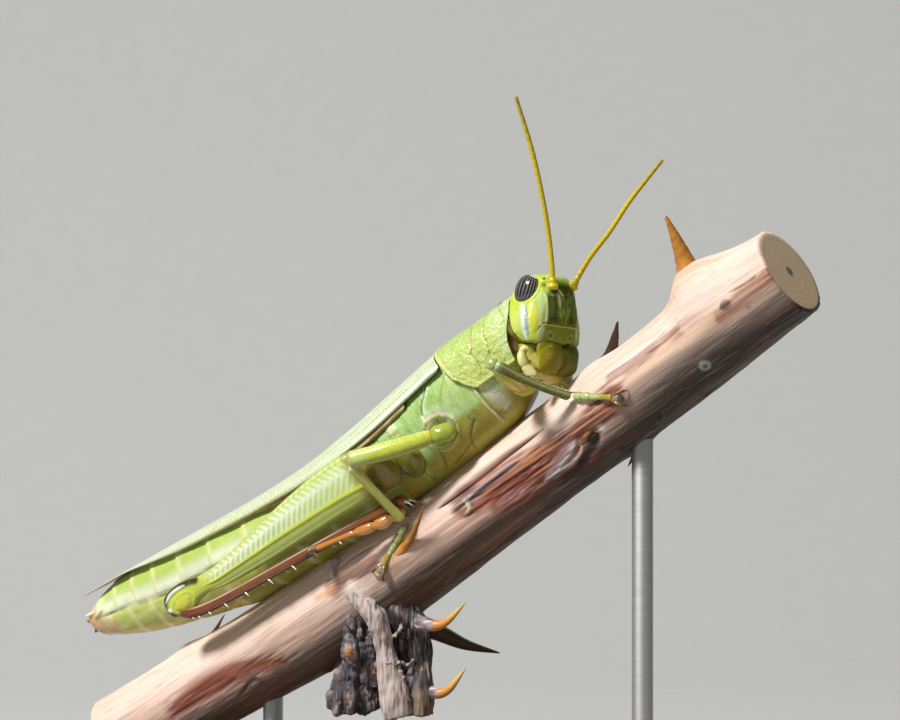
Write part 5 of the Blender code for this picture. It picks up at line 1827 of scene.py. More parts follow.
    @staticmethod
    def marks() -> list[Mark]:
        """The slit, cracks, flakes, stains and lichen of the bark, with painted shadows beside the flake and
        between the pale scales of a knot.

        Returns:
            The marks, in the order in which they are laid.
        """
        slit = [(-4.03, -4.15, -8.26), (-0.46, -4.14, -8.15), (3.4, -4.12, -8.0), (6.38, -4.08, -7.82),
                (11.54, -4.11, -7.76)]
        flake = [(8.52, -4.26, -12.26), (10.33, -4.28, -12.12), (12.46, -4.21, -12.2), (14.0, -4.37, -11.75),
                 (14.53, -4.69, -10.54)]
        layer = [(14.1, -4.65, -10.5), (12.8, -4.6, -11.1), (10.8, -4.5, -11.7), (8.6, -4.4, -12.2)]
        stain = [(-45.83, -4.72, -9.65), (-40.3, -4.77, -9.47), (-36.0, -4.88, -10.18),
                 (-30.4, -4.81, -12.07)]
        scar = [(-37.56, -4.15, -12.51), (-34.62, -4.5, -12.11), (-34.12, -3.53, -13.61)]
        patch = ((16.7, -2.31, -14.04), (19.3, -2.38, -13.91), (21.66, -2.64, -13.69), (24.5, -3.2, -13.0),
                 (27.05, -3.33, -12.73))
        chance = np.random.default_rng(7)
        lichen = [
            Mark([tuple(spot + chance.normal(0.0, 0.22, 3))], chance.uniform(0.15, 0.42), 0.22,
                 Tone.BLACK, 0.92)
            for spot in smooth(numbered(patch), np.linspace(0.0, 4.0, 26))
        ]
        return [
            Mark(slit, 0.42, -0.4, Tone.MAROON, 0.95, 3.0),
            Mark(slit, 0.2, -0.15, Tone.BLACK, 0.9),
            Mark([(-0.36, -4.3, -8.6), (5.07, -4.19, -8.25), (8.61, -4.15, -8.1)], 0.13, 0.1,
                 Tone.AMBER, 0.9),
            Mark([(0.05, -4.67, -9.5), (3.6, -4.64, -9.2), (7.45, -4.61, -9.07)], 0.25, -0.15,
                 Tone.BLACK, 0.85),
            Mark([(0.05, -4.67, -9.1), (3.6, -4.64, -8.8), (7.45, -4.61, -8.7)], 0.2, 0.03, Tone.LILAC, 0.7),
            Mark([(-0.66, -4.42, -8.83), (-0.42, -4.75, -10.12), (-1.44, -4.75, -10.5)], 0.18, 0.2,
                 Tone.CREAM, 0.8),
            Mark([(-0.2, -4.5, -9.0), (0.05, -4.75, -10.3)], 0.22, -0.15, Tone.BLACK, 0.8),
            Mark([(8.85, -3.65, -13.24), (11.49, -3.67, -13.1), (13.64, -3.78, -12.91)], 0.5, -0.15,
                 Tone.BLACK, 0.85),
            # Painted shadow: black in a shallow hollow beside and below the flake.
            Mark([(16.2, -4.5, -10.9), (15.2, -4.4, -12.2), (12.4, -3.9, -12.9)], 0.6, -0.2,
                 Tone.BLACK, 0.9, 3.0),
            Mark(layer, 0.6, 0.12, Tone.LILAC, 0.6),
            Mark([(13.9, -4.65, -10.9), (12.4, -4.6, -11.5), (10.4, -4.5, -12.0)], 0.2, 0.1, Tone.WHITE, 0.6),
            Mark([(13.4, -4.65, -10.5), (12.0, -4.6, -11.0), (10.2, -4.5, -11.4)], 0.12, -0.1,
                 Tone.MAROON, 0.7),
            Mark(flake, 0.15, 0.16, Tone.WHITE, 0.95, 3.0),
            Mark([(15.7, -4.41, -11.56)], 0.65, -0.35, Tone.UMBER, 0.9, 3.0),
            Mark([(15.0, -4.69, -10.9), (16.0, -4.69, -10.8)], 0.2, 0.1, Tone.AMBER, 0.9),
            Mark([(17.3, -4.55, -11.17)], 0.4, 0.1, Tone.WHITE, 0.6),
            Mark(stain, 1.15, -0.05, Tone.BRICK, 0.85, 3.0),
            Mark([(-45.9, -4.7, -10.2), (-40.3, -4.77, -10.2), (-36.5, -4.88, -10.8)], 0.7, -0.05,
                 Tone.MAROON, 0.7, 3.0),
            Mark([(-34.6, -4.6, -11.3), (-32.7, -4.7, -11.1)], 0.2, 0.15, Tone.WHITE, 0.75, 3.0),
            Mark([(-34.3, -4.5, -12.0), (-32.4, -4.5, -11.9)], 0.22, 0.15, Tone.SILVER, 0.8, 3.0),
            # Painted shadow: a black line between the white and silver scales.
            Mark([(-34.5, -4.6, -11.65), (-32.6, -4.6, -11.5)], 0.12, -0.15, Tone.BLACK, 0.9, 3.0),
            Mark([(px, py, pz + 0.35) for px, py, pz in scar], 0.16, 0.12, Tone.WHITE, 0.7),
            Mark(scar, 0.3, -0.15, Tone.SLATE, 0.9),
            Mark([(-43.63, -4.08, -12.0)], 0.45, 0.1, Tone.SLATE, 0.7),
            Mark([(-27.31, -2.36, -15.26)], 0.9, 0.5, Tone.UMBER, 0.8),
            Mark([(-22.44, -4.79, -8.74), (-19.27, -4.74, -8.94)], 0.3, 0.05, Tone.AMBER, 0.7),
            Mark([(-18.77, -3.91, -7.57), (-15.98, -3.56, -7.4), (-13.04, -3.65, -7.59)], 0.14, -0.15,
                 Tone.UMBER),
            Mark([(-17.4, -4.6, -9.3), (-17.46, -5.05, -10.6), (-17.18, -4.71, -12.68)], 1.0, 0.35,
                 Tone.WHITE, 0.4),
            Mark([(35.8, -4.59, -8.01), (36.88, -4.6, -7.98)], 0.4, 0.2, Tone.UMBER, 0.8),
            Mark([(36.85, -4.32, -7.3), (40.46, -4.46, -7.44), (42.0, -2.16, -6.87)], 0.16, -0.12,
                 Tone.UMBER, 0.8),
            Mark([(20.73, -3.74, -6.91), (25.61, -3.91, -6.89), (30.26, -3.72, -6.48)], 0.13, 0.06,
                 Tone.WHITE, 0.7),
            Mark([(30.53, -4.02, -11.74)], 0.55, 0.08, Tone.WHITE, 0.7, 4.0),
            Mark([(30.53, -4.02, -11.74)], 0.35, 0.05, Tone.BLACK, 0.95, 4.0),
            Mark([(38.23, -4.62, -9.54)], 0.16, 0.0, Tone.BLACK, 0.8),
            *lichen,
        ]

    def spines(self) -> None:
        """Builds the thorns."""
        made = []
        for thorn in self.thorns:
            root = self.point(thorn.x, thorn.degrees, thorn.rise * 0.5 - self.root_depth)
            points = spike(root, thorn.tip, thorn.half_thick, bow=self.bow, rows=60, columns=28)
            skin = Skin(points, thorn.tone)
            share = skin.share
            if thorn.tone is Tone.THORN:
                skin.paint(Tone.RUST, 0.25 + 0.4 * ease(share, 0.15, 0.6)
                           + 0.25 * cloud(points, (2.0, 0.3, 0.3), 35))
                skin.paint(Tone.UMBER, 0.8 * ease(share, 0.88, 1.0))
                skin.paint(Tone.TAN, 0.5 * ease(-share, -0.35, -0.1))
            skin.swell(0.05 * cloud(points, (1.2, 0.4, 0.4), 34) * ease(share * (1 - share), 0.0, 0.1))
            made.append(skin.piece("thorn", BODY))
        shown(joined("cane_thorns", made), self.horn.material(), Slot.CANE)

    def build(self) -> None:
        """Builds the cane."""
        self.stem()
        self.spines()


class Pair(Enum):
    """The pairs of walking legs, with the middle line of each right hip and its half thicknesses."""

    FRONT = (((11.3, -1.8, -2.4), (11.4, -2.7, -3.3)), (1.3, 1.35, 1.0))
    MIDDLE = (((2.9, -3.9, -2.6), (1.7, -4.7, -2.15), (0.3, -5.25, -1.75)), (0.8, 1.0, 1.0, 0.8))


@dataclass(frozen=True)
class Course:
    """Where a walking leg runs: its pair and side, its joints in millimetres and its foot's place.

    The joints are given for the right side. The foot is the x of heel and toe, and their angles from the top.
    """

    pair: Pair
    side: Side
    thigh: Route
    shin: Route
    thigh_sizes: tuple[float, ...]
    foot: tuple[float, float, float, float]

    @property
    def label(self) -> str:
        """The leg's side and pair, as names use them."""
        return f"{self.side.word}_{self.pair.name.lower()}"


CLAW_STEPS = ((0.45, 0.38, 0.22), (0.95, 0.55, 0.08), (1.22, 0.6, -0.42))
CLAW_SIZES = (0.17, 0.16, 0.1, 0.02)


def claws(toe: np.ndarray, heading: np.ndarray, out: np.ndarray, size: float = 1.0) -> list[Piece]:
    """Two hooked claws with a pad between them.

    Args:
        toe: The end of the foot.
        heading: The unit direction that the foot points in.
        out: The unit direction away from what the foot holds.
        size: How large, against a front foot's.

    Returns:
        The pieces.
    """
    side, made = np.cross(heading, out), []
    for spread in (-1.0, 1.0):
        route = [toe - 0.1 * heading + 0.12 * spread * side * size]
        for ahead, aside, high in CLAW_STEPS:
            route.append(toe + size * (ahead * heading + spread * aside * side + high * out))
        sizes = [half_thick * size for half_thick in CLAW_SIZES]
        claw = Skin(tube(route, sizes, rows=30, columns=14, up=tuple(out)), Tone.RUST)
        claw.paint(Tone.BLACK, ease(claw.share, 0.35, 0.8))
        made.append(claw.piece("claw", BODY))
    pad = tube((toe, toe + 0.75 * size * heading), (0.32 * size, 0.44 * size), rows=20, columns=24,
               up=tuple(out), blunt=0.3)
    made.append(Skin(pad, Tone.GREY_BARK).piece("pad", BODY))
    return made


@dataclass
class WalkingLegs:
    """The front and middle legs."""

    cane: Cane
    courses: tuple[Course, ...] = (
        Course(Pair.FRONT, Side.RIGHT,
               ((11.3, -2.6, -3.0), (12.4, -6.2, -1.4), (13.7, -10.1, 0.5)),
               ((13.82, -9.82, 0.1), (14.8, -7.4, -3.2), (16.3, -4.5, -6.6)),
               (0.6, 0.86, 0.95, 0.85, 0.62, 0.72), (16.6, 20.6, 54.0, 84.0)),
        Course(Pair.FRONT, Side.LEFT,
               ((11.3, -2.6, -3.0), (10.9, -5.4, -4.0), (10.3, -7.9, -5.1)),
               ((10.55, -7.7, -5.2), (13.2, -7.2, -6.8), (15.6, -6.0, -8.6)),
               (0.6, 0.85, 0.9, 0.8, 0.62, 0.7), (16.2, 20.6, 66.0, 92.0)),
        Course(Pair.MIDDLE, Side.RIGHT,
               ((1.0, -5.0, -1.9), (-2.6, -6.85, -0.8), (-7.3, -8.9, 0.9)),
               ((-7.3, -8.72, 0.43), (-7.4, -7.3, -3.4), (-7.5, -5.6, -7.2)),
               (0.72, 0.86, 0.96, 1.0, 0.94, 0.95), (-8.2, -12.6, 56.0, 80.0)),
        Course(Pair.MIDDLE, Side.LEFT,
               ((1.0, -5.0, -1.9), (-2.0, -7.0, -1.3), (-6.2, -9.2, 0.0)),
               ((-6.19, -9.0, -0.45), (-6.1, -7.3, -4.2), (-6.2, -5.5, -8.3)),
               (0.72, 0.86, 0.96, 1.0, 0.94, 0.95), (-6.6, -11.6, 66.0, 86.0)),
    )
    shin_sizes: tuple[float, ...] = (0.62, 0.56, 0.5, 0.48, 0.5, 0.56)
    foot_sizes: tuple[float, ...] = (0.4, 0.46, 0.36, 0.34, 0.4)
    foot_steps: tuple[tuple[float, float], ...] = ((0.0, 0.62), (0.35, 0.45), (0.7, 0.45), (1.0, 0.5))
    shell: Cuticle = Cuticle("leg shell", BODY, roughness=0.26, coat=0.5, mottle=0.18,
                             mottle_size=(0.8, 0.5, 0.5), grains=0.2, pits=0.0, grain_size=0.3, relief=0.02)

    def build(self) -> None:
        """Builds the four legs."""
        shell = self.shell.material()
        for course in self.courses:
            label = f"leg_{course.label}"
            shown(self.hip(course), shell, Slot.PALE, [f"{label}_coxa"])
            shown(self.thigh(course), shell, Slot.PALE, [f"{label}_femur"])
            shown(self.shin(course), shell, Slot.YELLOW, [f"{label}_tibia"])
            shown(self.foot(course), shell, Slot.FOOT, [f"{label}_tarsus"])

    def hip(self, course: Course) -> Piece:
        """Builds a coxa with its trochanter.

        Args:
            course: The leg's course.

        Returns:
            The piece.
        """
        route, sizes = course.pair.value
        skin = Skin(tube(course.side.of(route), sizes, rows=50, columns=48, blunt=0.3), Tone.GRASS)
        skin.paint(Tone.YELLOW if course.pair is Pair.FRONT else Tone.OLIVE, 0.5)
        skin.swell(0.05 * cloud(skin.points, 0.5, 41))
        return skin.piece(f"hip_{course.label}", BODY)

    @staticmethod
    def ridged(share: np.ndarray, turn: np.ndarray) -> np.ndarray:
        """A thigh's section: six low ridges with beads along them."""
        ridge = np.maximum(np.cos(3.0 * turn), 0.0) ** 3
        return 1.0 + 0.05 * ridge * (1.0 + 0.4 * np.sin(share * 120.0))

    def thigh(self, course: Course) -> Piece:
        """Builds a femur with the lobes of its knee.

        Args:
            course: The leg's course.

        Returns:
            The piece.
        """
        route = course.side.of(course.thigh)
        skin = Skin(tube(route, course.thigh_sizes, rows=200, columns=72, blunt=0.05, form=self.ridged),
                    Tone.GRASS)
        share = skin.share
        turn = skin.turn
        if course.pair is Pair.FRONT:
            skin.paint(Tone.YELLOW, 0.85 * ease(-share, -0.85, -0.55))
        else:
            skin.paint(Tone.LEMON, 0.45).paint(Tone.OLIVE, 0.5 * ease(-np.sin(turn), 0.1, 0.8))
        # Painted highlights: cream along the six ridges.
        skin.paint(Tone.CREAM, 0.35 * np.maximum(np.cos(3.0 * turn), 0.0) ** 4)
        skin.paint(Tone.PALE_GREEN, 0.4 * ease(share, 0.75, 0.9))
        skin.paint(Tone.RUST, 0.45 * ease(share, 0.955, 0.99) + 0.5 * bell(share, 0.03, 0.02))
        return skin.piece(f"thigh_{course.label}", BODY)

    def shin(self, course: Course) -> Piece:
        """Builds a tibia with two rows of small spines.

        Args:
            course: The leg's course.

        Returns:
            The piece.
        """
        route = course.side.of(course.shin)
        skin = Skin(tube(route, self.shin_sizes, rows=120, columns=48, blunt=0.05), Tone.OLIVE)
        share = skin.share
        if course.pair is Pair.FRONT:
            # Front shins: their own dark olive, deepened with painted shade.
            skin.paint(Tone.MOSS, 0.6).paint(Tone.RUST, 0.15)
        else:
            skin.paint(Tone.LEMON, 0.4).paint(Tone.LIME, 0.25)
        turn = skin.turn
        # Painted highlights: two narrow pale lines along the shin.
        skin.paint(Tone.CREAM, 0.35 * np.maximum(np.cos(2.0 * turn + 0.6), 0.0) ** 8)
        skin.paint(Tone.PALE_GREEN, 0.5 * ease(-share, -0.12, -0.03))
        parts = [skin.piece("shin", BODY)]
        line = smooth(numbered(route), np.linspace(0.55, 1.9, 6))
        axis = unit(route[-1] - route[0])
        for point, aside in itertools.product(line, (-1.0, 1.0)):
            inward = np.array((0.25 * aside, -0.95 * np.sign(point[1]), -0.1))
            root = point + 0.36 * inward + np.array((0.3 * aside, 0.0, 0.0))
            tip = root + 0.5 * inward + 0.45 * axis + np.array((0.25 * aside, 0.0, 0.0))
            spine = Skin(spike(root, tip, 0.1, bow=0.0, rows=7, columns=8), Tone.UMBER)
            parts.append(spine.piece("spine", BODY))
        return joined(f"shin_{course.label}", parts)

    def foot(self, course: Course) -> Piece:
        """Builds a tarsus of three joints with pads below, two claws and the pad between them.

        Args:
            course: The leg's course.

        Returns:
            The piece.
        """
        heel, toe, heel_angle, toe_angle = course.foot
        steps = []
        for share, height in self.foot_steps:
            angle = (heel_angle + (toe_angle - heel_angle) * share) * course.side.value
            steps.append(self.cane.point(heel + (toe - heel) * share, angle, height))
        out, heading = self.cane.away(steps[-1]), unit(steps[-1] - steps[-2])
        skin = Skin(tube(steps, self.foot_sizes, rows=120, columns=40, up=tuple(out), blunt=0.05,
                    form=self.padded), Tone.OLIVE)
        share = skin.share
        turn = skin.turn
        skin.paint(Tone.CREAM, 0.55 * ease(-np.sin(turn), 0.3, 0.8) * ease(-share, -0.75, -0.6))
        # Paler top: the foot's pale green together with a painted highlight.
        skin.paint(Tone.PALE_GREEN, 0.5 * ease(np.sin(turn), 0.0, 0.7) * ease(-share, -0.75, -0.6))
        skin.paint(Tone.AMBER, 0.35 * ease(share, 0.6, 0.9))
        parts = [skin.piece("foot", BODY), *claws(steps[-1], heading, out, 1.3)]
        return joined(f"foot_{course.label}", parts)

    @staticmethod
    def padded(share: np.ndarray, turn: np.ndarray) -> np.ndarray:
        """A foot's section: three bulging pads below, then a slim claw joint.

        Args:
            share: The share along it.
            turn: The angle round it.

        Returns:
            The scale of its half thickness.
        """
        pads = sum(bell(share, place, 0.07) for place in (0.12, 0.32, 0.52))
        seams = sum(bell(share, place, 0.02) for place in (0.22, 0.42, 0.62))
        below = np.maximum(-np.sin(turn), 0.0)
        return 0.92 + 0.3 * pads * below + 0.08 * pads - 0.22 * seams


@dataclass
class JumpingLegs:
    """The hind legs, folded along the abdomen."""

    cane: Cane
    thigh_stations: Route = (
        (-38.15, 0.0, -1.45, 0.5),
        (-37.5, 0.7, -1.85, 0.8),
        (-36.4, 1.08, -2.1, 0.88),
        (-35.0, 1.1, -2.05, 0.82),
        (-33.8, 0.88, -1.75, 0.68),
        (-32.4, 0.5, -1.6, 0.6),
        (-30.0, 0.4, -2.05, 0.7),
        (-24.0, 1.05, -2.65, 0.95),
        (-18.0, 1.8, -3.05, 1.2),
        (-12.0, 2.2, -3.4, 1.35),
        (-8.0, 1.9, -3.75, 1.3),
        (-5.6, 0.7, -3.8, 1.1),
        (-4.5, -0.5, -3.4, 0.8),
    )
    thigh_out: float = 5.45
    thigh_spread: float = 0.024
    hip: Route = ((-3.6, -3.0, -2.3), (-4.4, -4.6, -2.5))
    hip_sizes: tuple[float, ...] = (2.0, 2.0, 1.6)
    hinge: Point = (-4.6, -4.6, -2.4)
    shin_route: Route = ((-36.9, -6.25, -1.3), (-33.5, -6.25, -2.85), (-20.0, -6.0, -4.2),
                         (-6.2, -4.7, -5.45))
    shin_sizes: tuple[float, ...] = (0.7, 0.7, 0.62, 0.58, 0.58, 0.6, 0.68)
    spines: int = 11
    spine_half_thick: float = 0.13
    spur_half_thick: float = 0.16
    # Where round each hind shin its painted highlight runs.
    lit_turn: float = 0.95
    left_droop: float = 5.0
    right_foot: Route = ((-7.1, -4.75, -6.35), (-9.6, -5.9, -6.15), (-13.2, -6.8, -5.3), (-17.4, -7.2, -4.5))
    right_foot_out: Point = (0.1, -0.35, 0.93)
    left_foot: Route = ((-8.3, 57.0, 1.3), (-11.0, 60.0, 0.6), (-14.0, 64.0, 0.5), (-18.0, 69.0, 0.55))
    foot_sizes: tuple[float, ...] = (0.5, 0.58, 0.5, 0.3, 0.36)
    chevron: float = 0.84
    shell: Cuticle = Cuticle("thigh shell", BODY, roughness=0.25, coat=0.5, mottle=0.12,
                             mottle_size=(1.2, 0.6, 0.6), grains=0.1, pits=0.0, grain_size=0.3, relief=0.012)
    shank: Cuticle = Cuticle("shin shell", BODY, roughness=0.24, coat=0.6, mottle=0.1,
                             mottle_size=(1.2, 0.4, 0.4), relief=0.015)

    def swing(self, side: Side) -> np.ndarray:
        """The matrix that lets the left leg droop a little from its hip.

        Args:
            side: Which side.

        Returns:
            The matrix.
        """
        hinge = Matrix.Translation(Vector(side.of([self.hinge])[0]))
        droop = Matrix.Rotation(math.radians(self.left_droop if side is Side.LEFT else 0.0), 4, "Y")
        return np.array(hinge @ droop @ hinge.inverted())

    def swung(self, points: np.ndarray, side: Side) -> np.ndarray:
        """Points after the droop."""
        matrix = self.swing(side)
        return points @ matrix[:3, :3].T + matrix[:3, 3]

    def build(self) -> None:
        """Builds both legs."""
        shell, shank = self.shell.material(), self.shank.material()
        for side in Side:
            label = f"leg_{side.word}_hind"
            hip = Skin(tube(side.of(self.hip), self.hip_sizes, rows=50, columns=48, blunt=0.3), Tone.OLIVE)
            hip.paint(Tone.MOSS, 0.4 + 0.3 * cloud(hip.points, 0.9, 51)).paint(Tone.RUST, 0.3)
            shown(hip.piece(f"hip_{side.word}_hind", BODY), shell, Slot.PALE, [f"{label}_coxa"])
            shown(self.thigh(side), shell, Slot.PALE, [f"{label}_femur"])
            shown(self.shin(side), shank, Slot.SHIN, [f"{label}_tibia"])
            shown(self.foot(side), shank, Slot.FOOT, [f"{label}_tarsus"])

    def thigh(self, side: Side) -> Piece:
        """Builds a femur with its herringbone faces, keels and knee.

        Args:
            side: Which side.

        Returns:
            The piece.
        """
        root, tip = self.thigh_stations[-1][0], self.thigh_stations[0][0]
        points = trunk(self.thigh_stations, root, tip, rows=430, columns=112, squareness=2.35, blunt=0.02)
        skin = Skin(points, Tone.GRASS)
        x, y, z = skin.xyz
        top, under, _ = np.moveaxis(smooth(self.thigh_stations, x), -1, 0)
        height = (z - under) / (top - under)
        keel, ridge = 0.92, 0.33 + 0.012 * ease(-x, 8.0, 30.0) * 10
        across = (height - ridge) / (keel - ridge)
        face = ease(across, 0.02, 0.1) * ease(-across, -0.97, -0.9)
        face = face * ease(-x, 6.5, 9.5) * ease(x, -32.5, -29.0)
        phase = (x + 0.85 * np.abs(across - 0.62) * (keel - ridge) * (top - under)) / self.chevron
        fish = bell(phase % 1.0, 0.5, 0.2)
        outer = ease(side.value * y, -0.2, 0.3)
        skin.paint(Tone.LIME, 0.5 * ease(-height, -0.35, -0.2)).paint(Tone.LEMON, 0.4 * ease(-x, 27.0, 31.0))
        skin.paint(Tone.PALE_GREEN, 0.5 * face)
        skin.paint(Tone.WHITE, 0.75 * fish * face * (0.45 + 0.55 * ease(-x, 12.0, 20.0)))
        skin.paint(Tone.WHITE, 0.45 * bell(across, 0.62, 0.12) * face)
        skin.paint(Tone.OLIVE, 0.5 * ease(-height, -0.24, -0.14) * ease(-x, 7.0, 10.0))
        # Painted shade: olive and rust at the thigh's root, under the body.
        skin.paint(Tone.OLIVE, 0.85 * ease(x, -10.0, -8.4)).paint(Tone.RUST, 0.7 * ease(x, -9.8, -7.8))
        upper = bell(height, 0.925, 0.03) * ease(-x, 6.5, 9.0) * ease(x, -34.0, -31.0)
        lower = bell(height - ridge, -0.02, 0.04) * ease(-x, 6.5, 9.0) * ease(x, -33.0, -30.0)
        dashes = 0.6 + 0.4 * np.sin(x * TAU / 0.9)
        skin.paint(Tone.CREAM, 0.8 * upper * dashes)
        skin.paint(Tone.LEMON, 0.8 * lower)
        relief = 0.07 * fish * face + 0.12 * upper * (0.6 + 0.4 * dashes) + 0.13 * lower
        relief += 0.12 * bell(height, 0.08, 0.04) * ease(-x, 8.0, 12.0) * ease(x, -33.0, -30.0)
        skin.swell(relief * (0.4 + 0.6 * outer))
        skin.mark_sides(self.knee_marks())
        outward = self.thigh_out + self.thigh_spread * (root - skin.points[..., 0])
        skin.points[..., 1] += side.value * outward
        skin.points = self.swung(skin.points, side)
        return skin.piece(f"thigh_{side.word}_hind", BODY)

    @staticmethod
    def knee_marks() -> list[Mark]:
        """The knee's black crescent with a painted glint along it, its lobe with a pale rim and the pale end.

        Returns:
            The marks, in the order in which they are laid.
        """
        crescent = [(-37.56, 0, -1.43), (-37.8, 0, -0.8), (-37.46, 0, 0.17), (-36.4, 0, 0.71),
                    (-34.88, 0, 0.8), (-33.6, 0, 0.62), (-32.8, 0, 0.33)]
        glint = [(-37.3, 0, 0.1), (-36.4, 0, 0.55), (-35.4, 0, 0.66), (-34.2, 0, 0.55)]
        rim = ring((-35.4, 0, -0.95), (1.6, 0, 0.2), (-0.12, 0, 0.95))
        return [
            Mark([(-36.3, 0, -1.1), (-34.6, 0, -0.8)], 0.85, 0.06, Tone.LEMON, 0.7, 4.0),
            Mark(rim, 0.14, 0.06, Tone.LEMON, 0.8, 2.0, False),
            Mark(crescent, 0.46, 0.03, Tone.BLACK, 0.97, 4.0, False),
            Mark([(-37.45, 0, -0.95), (-37.2, 0, -0.7)], 0.36, 0.03, Tone.WHITE, 0.95, 4.0),
            # Painted highlight: the glint along the black crescent.
            Mark(glint, 0.17, 0.0, Tone.WHITE, 0.8, 3.0),
            Mark([(-37.0, 0, -1.7), (-36.0, 0, -1.95)], 0.1, 0.0, Tone.BLACK, 0.7, 3.0),
        ]

    def shin(self, side: Side) -> Piece:
        """Builds a tibia with its two rows of dark-tipped spines and the spurs at its end.

        Args:
            side: Which side.

        Returns:
            The piece.
        """
        route = side.of(self.shin_route)
        skin = Skin(tube(route, self.shin_sizes, rows=220, columns=48, blunt=0.02, form=self.keeled),
                    Tone.MAROON)
        share = skin.share
        turn = skin.turn
        # Painted highlight: a silver line along the lit side of each shin.
        lit = self.lit_turn if side is Side.RIGHT else math.pi - self.lit_turn
        skin.paint(Tone.ROSE, 0.55 * ease(-share, -0.09, -0.03))
        skin.paint(Tone.SILVER, 0.8 * bell(turn, lit, 0.22) * ease(-share, -0.95, -0.8))
        skin.paint(Tone.AMBER, 0.3 * ease(share, 0.9, 1.0))
        skin.paint(Tone.RUST, 0.25 + 0.25 * cloud(skin.points, (2.0, 0.5, 0.5), 52))
        skin.points = self.swung(skin.points, side)
        parts = [skin.piece("shin", BODY)]
        places = np.linspace(0.2, 0.95, self.spines)
        for share, row in itertools.product(places, (-1.0, 1.0)):
            share += 0.02 * row
            root = smooth(numbered(route), share * (len(route) - 1)) + np.array((0.0, 0.3 * row, -0.36))
            tip = root + np.array((0.5, 0.42 * row, -0.85)) * (0.85 + 0.35 * share)
            parts.append(self.spine(self.swung(np.array([root, tip]), side), self.spine_half_thick))
        end = np.asarray(route[-1])
        for row, reach in itertools.product((-1.0, 1.0), (0.9, 1.5)):
            root = end + np.array((-0.1, 0.35 * row, -0.25))
            tip = root + reach * np.array((0.55, 0.3 * row, -0.75))
            parts.append(self.spine(self.swung(np.array([root, tip]), side), self.spur_half_thick))
        return joined(f"shin_{side.word}_hind", parts)

    @staticmethod
    def keeled(share: np.ndarray, turn: np.ndarray) -> np.ndarray:
        """A shin's section, with two low keels that carry the spines."""
        keels = bell(turn, 4.1, 0.3) + bell(turn, 5.3, 0.3)
        return 1.0 + 0.1 * keels

    @staticmethod
    def spine(ends: np.ndarray, half_thick: float) -> Piece:
        """Builds a pale spine with a dark tip."""
        skin = Skin(spike(ends[0], ends[1], half_thick, bow=-0.06, rows=10, columns=9), Tone.WHITE)
        skin.paint(Tone.BLACK, ease(skin.share, 0.5, 0.72))
        return skin.piece("spine", BODY)

    def foot(self, side: Side) -> Piece:
        """Builds a tarsus with its pads and claws.

        Args:
            side: Which side.

        Returns:
            The piece.
        """
        if side is Side.RIGHT:
            steps, out = np.array(self.right_foot), np.array(self.right_foot_out)
        else:
            steps = np.array([self.cane.point(*place) for place in self.left_foot])
            out = self.cane.away(steps[-1])
        heading = unit(steps[-1] - steps[-2])
        skin = Skin(tube(steps, self.foot_sizes, rows=150, columns=40, up=tuple(out), blunt=0.04,
                    form=WalkingLegs.padded), Tone.AMBER)
        share, turn = skin.share, skin.turn
        skin.paint(Tone.CREAM, 0.5 * ease(-np.sin(turn), 0.1, 0.7) * ease(-share, -0.65, -0.55))
        skin.paint(Tone.MAROON, 0.35 * ease(np.sin(turn), 0.2, 0.8))
        parts = [skin.piece("foot", BODY), *claws(steps[-1], heading, out, 1.05)]
        return joined(f"foot_{side.word}_hind", parts)


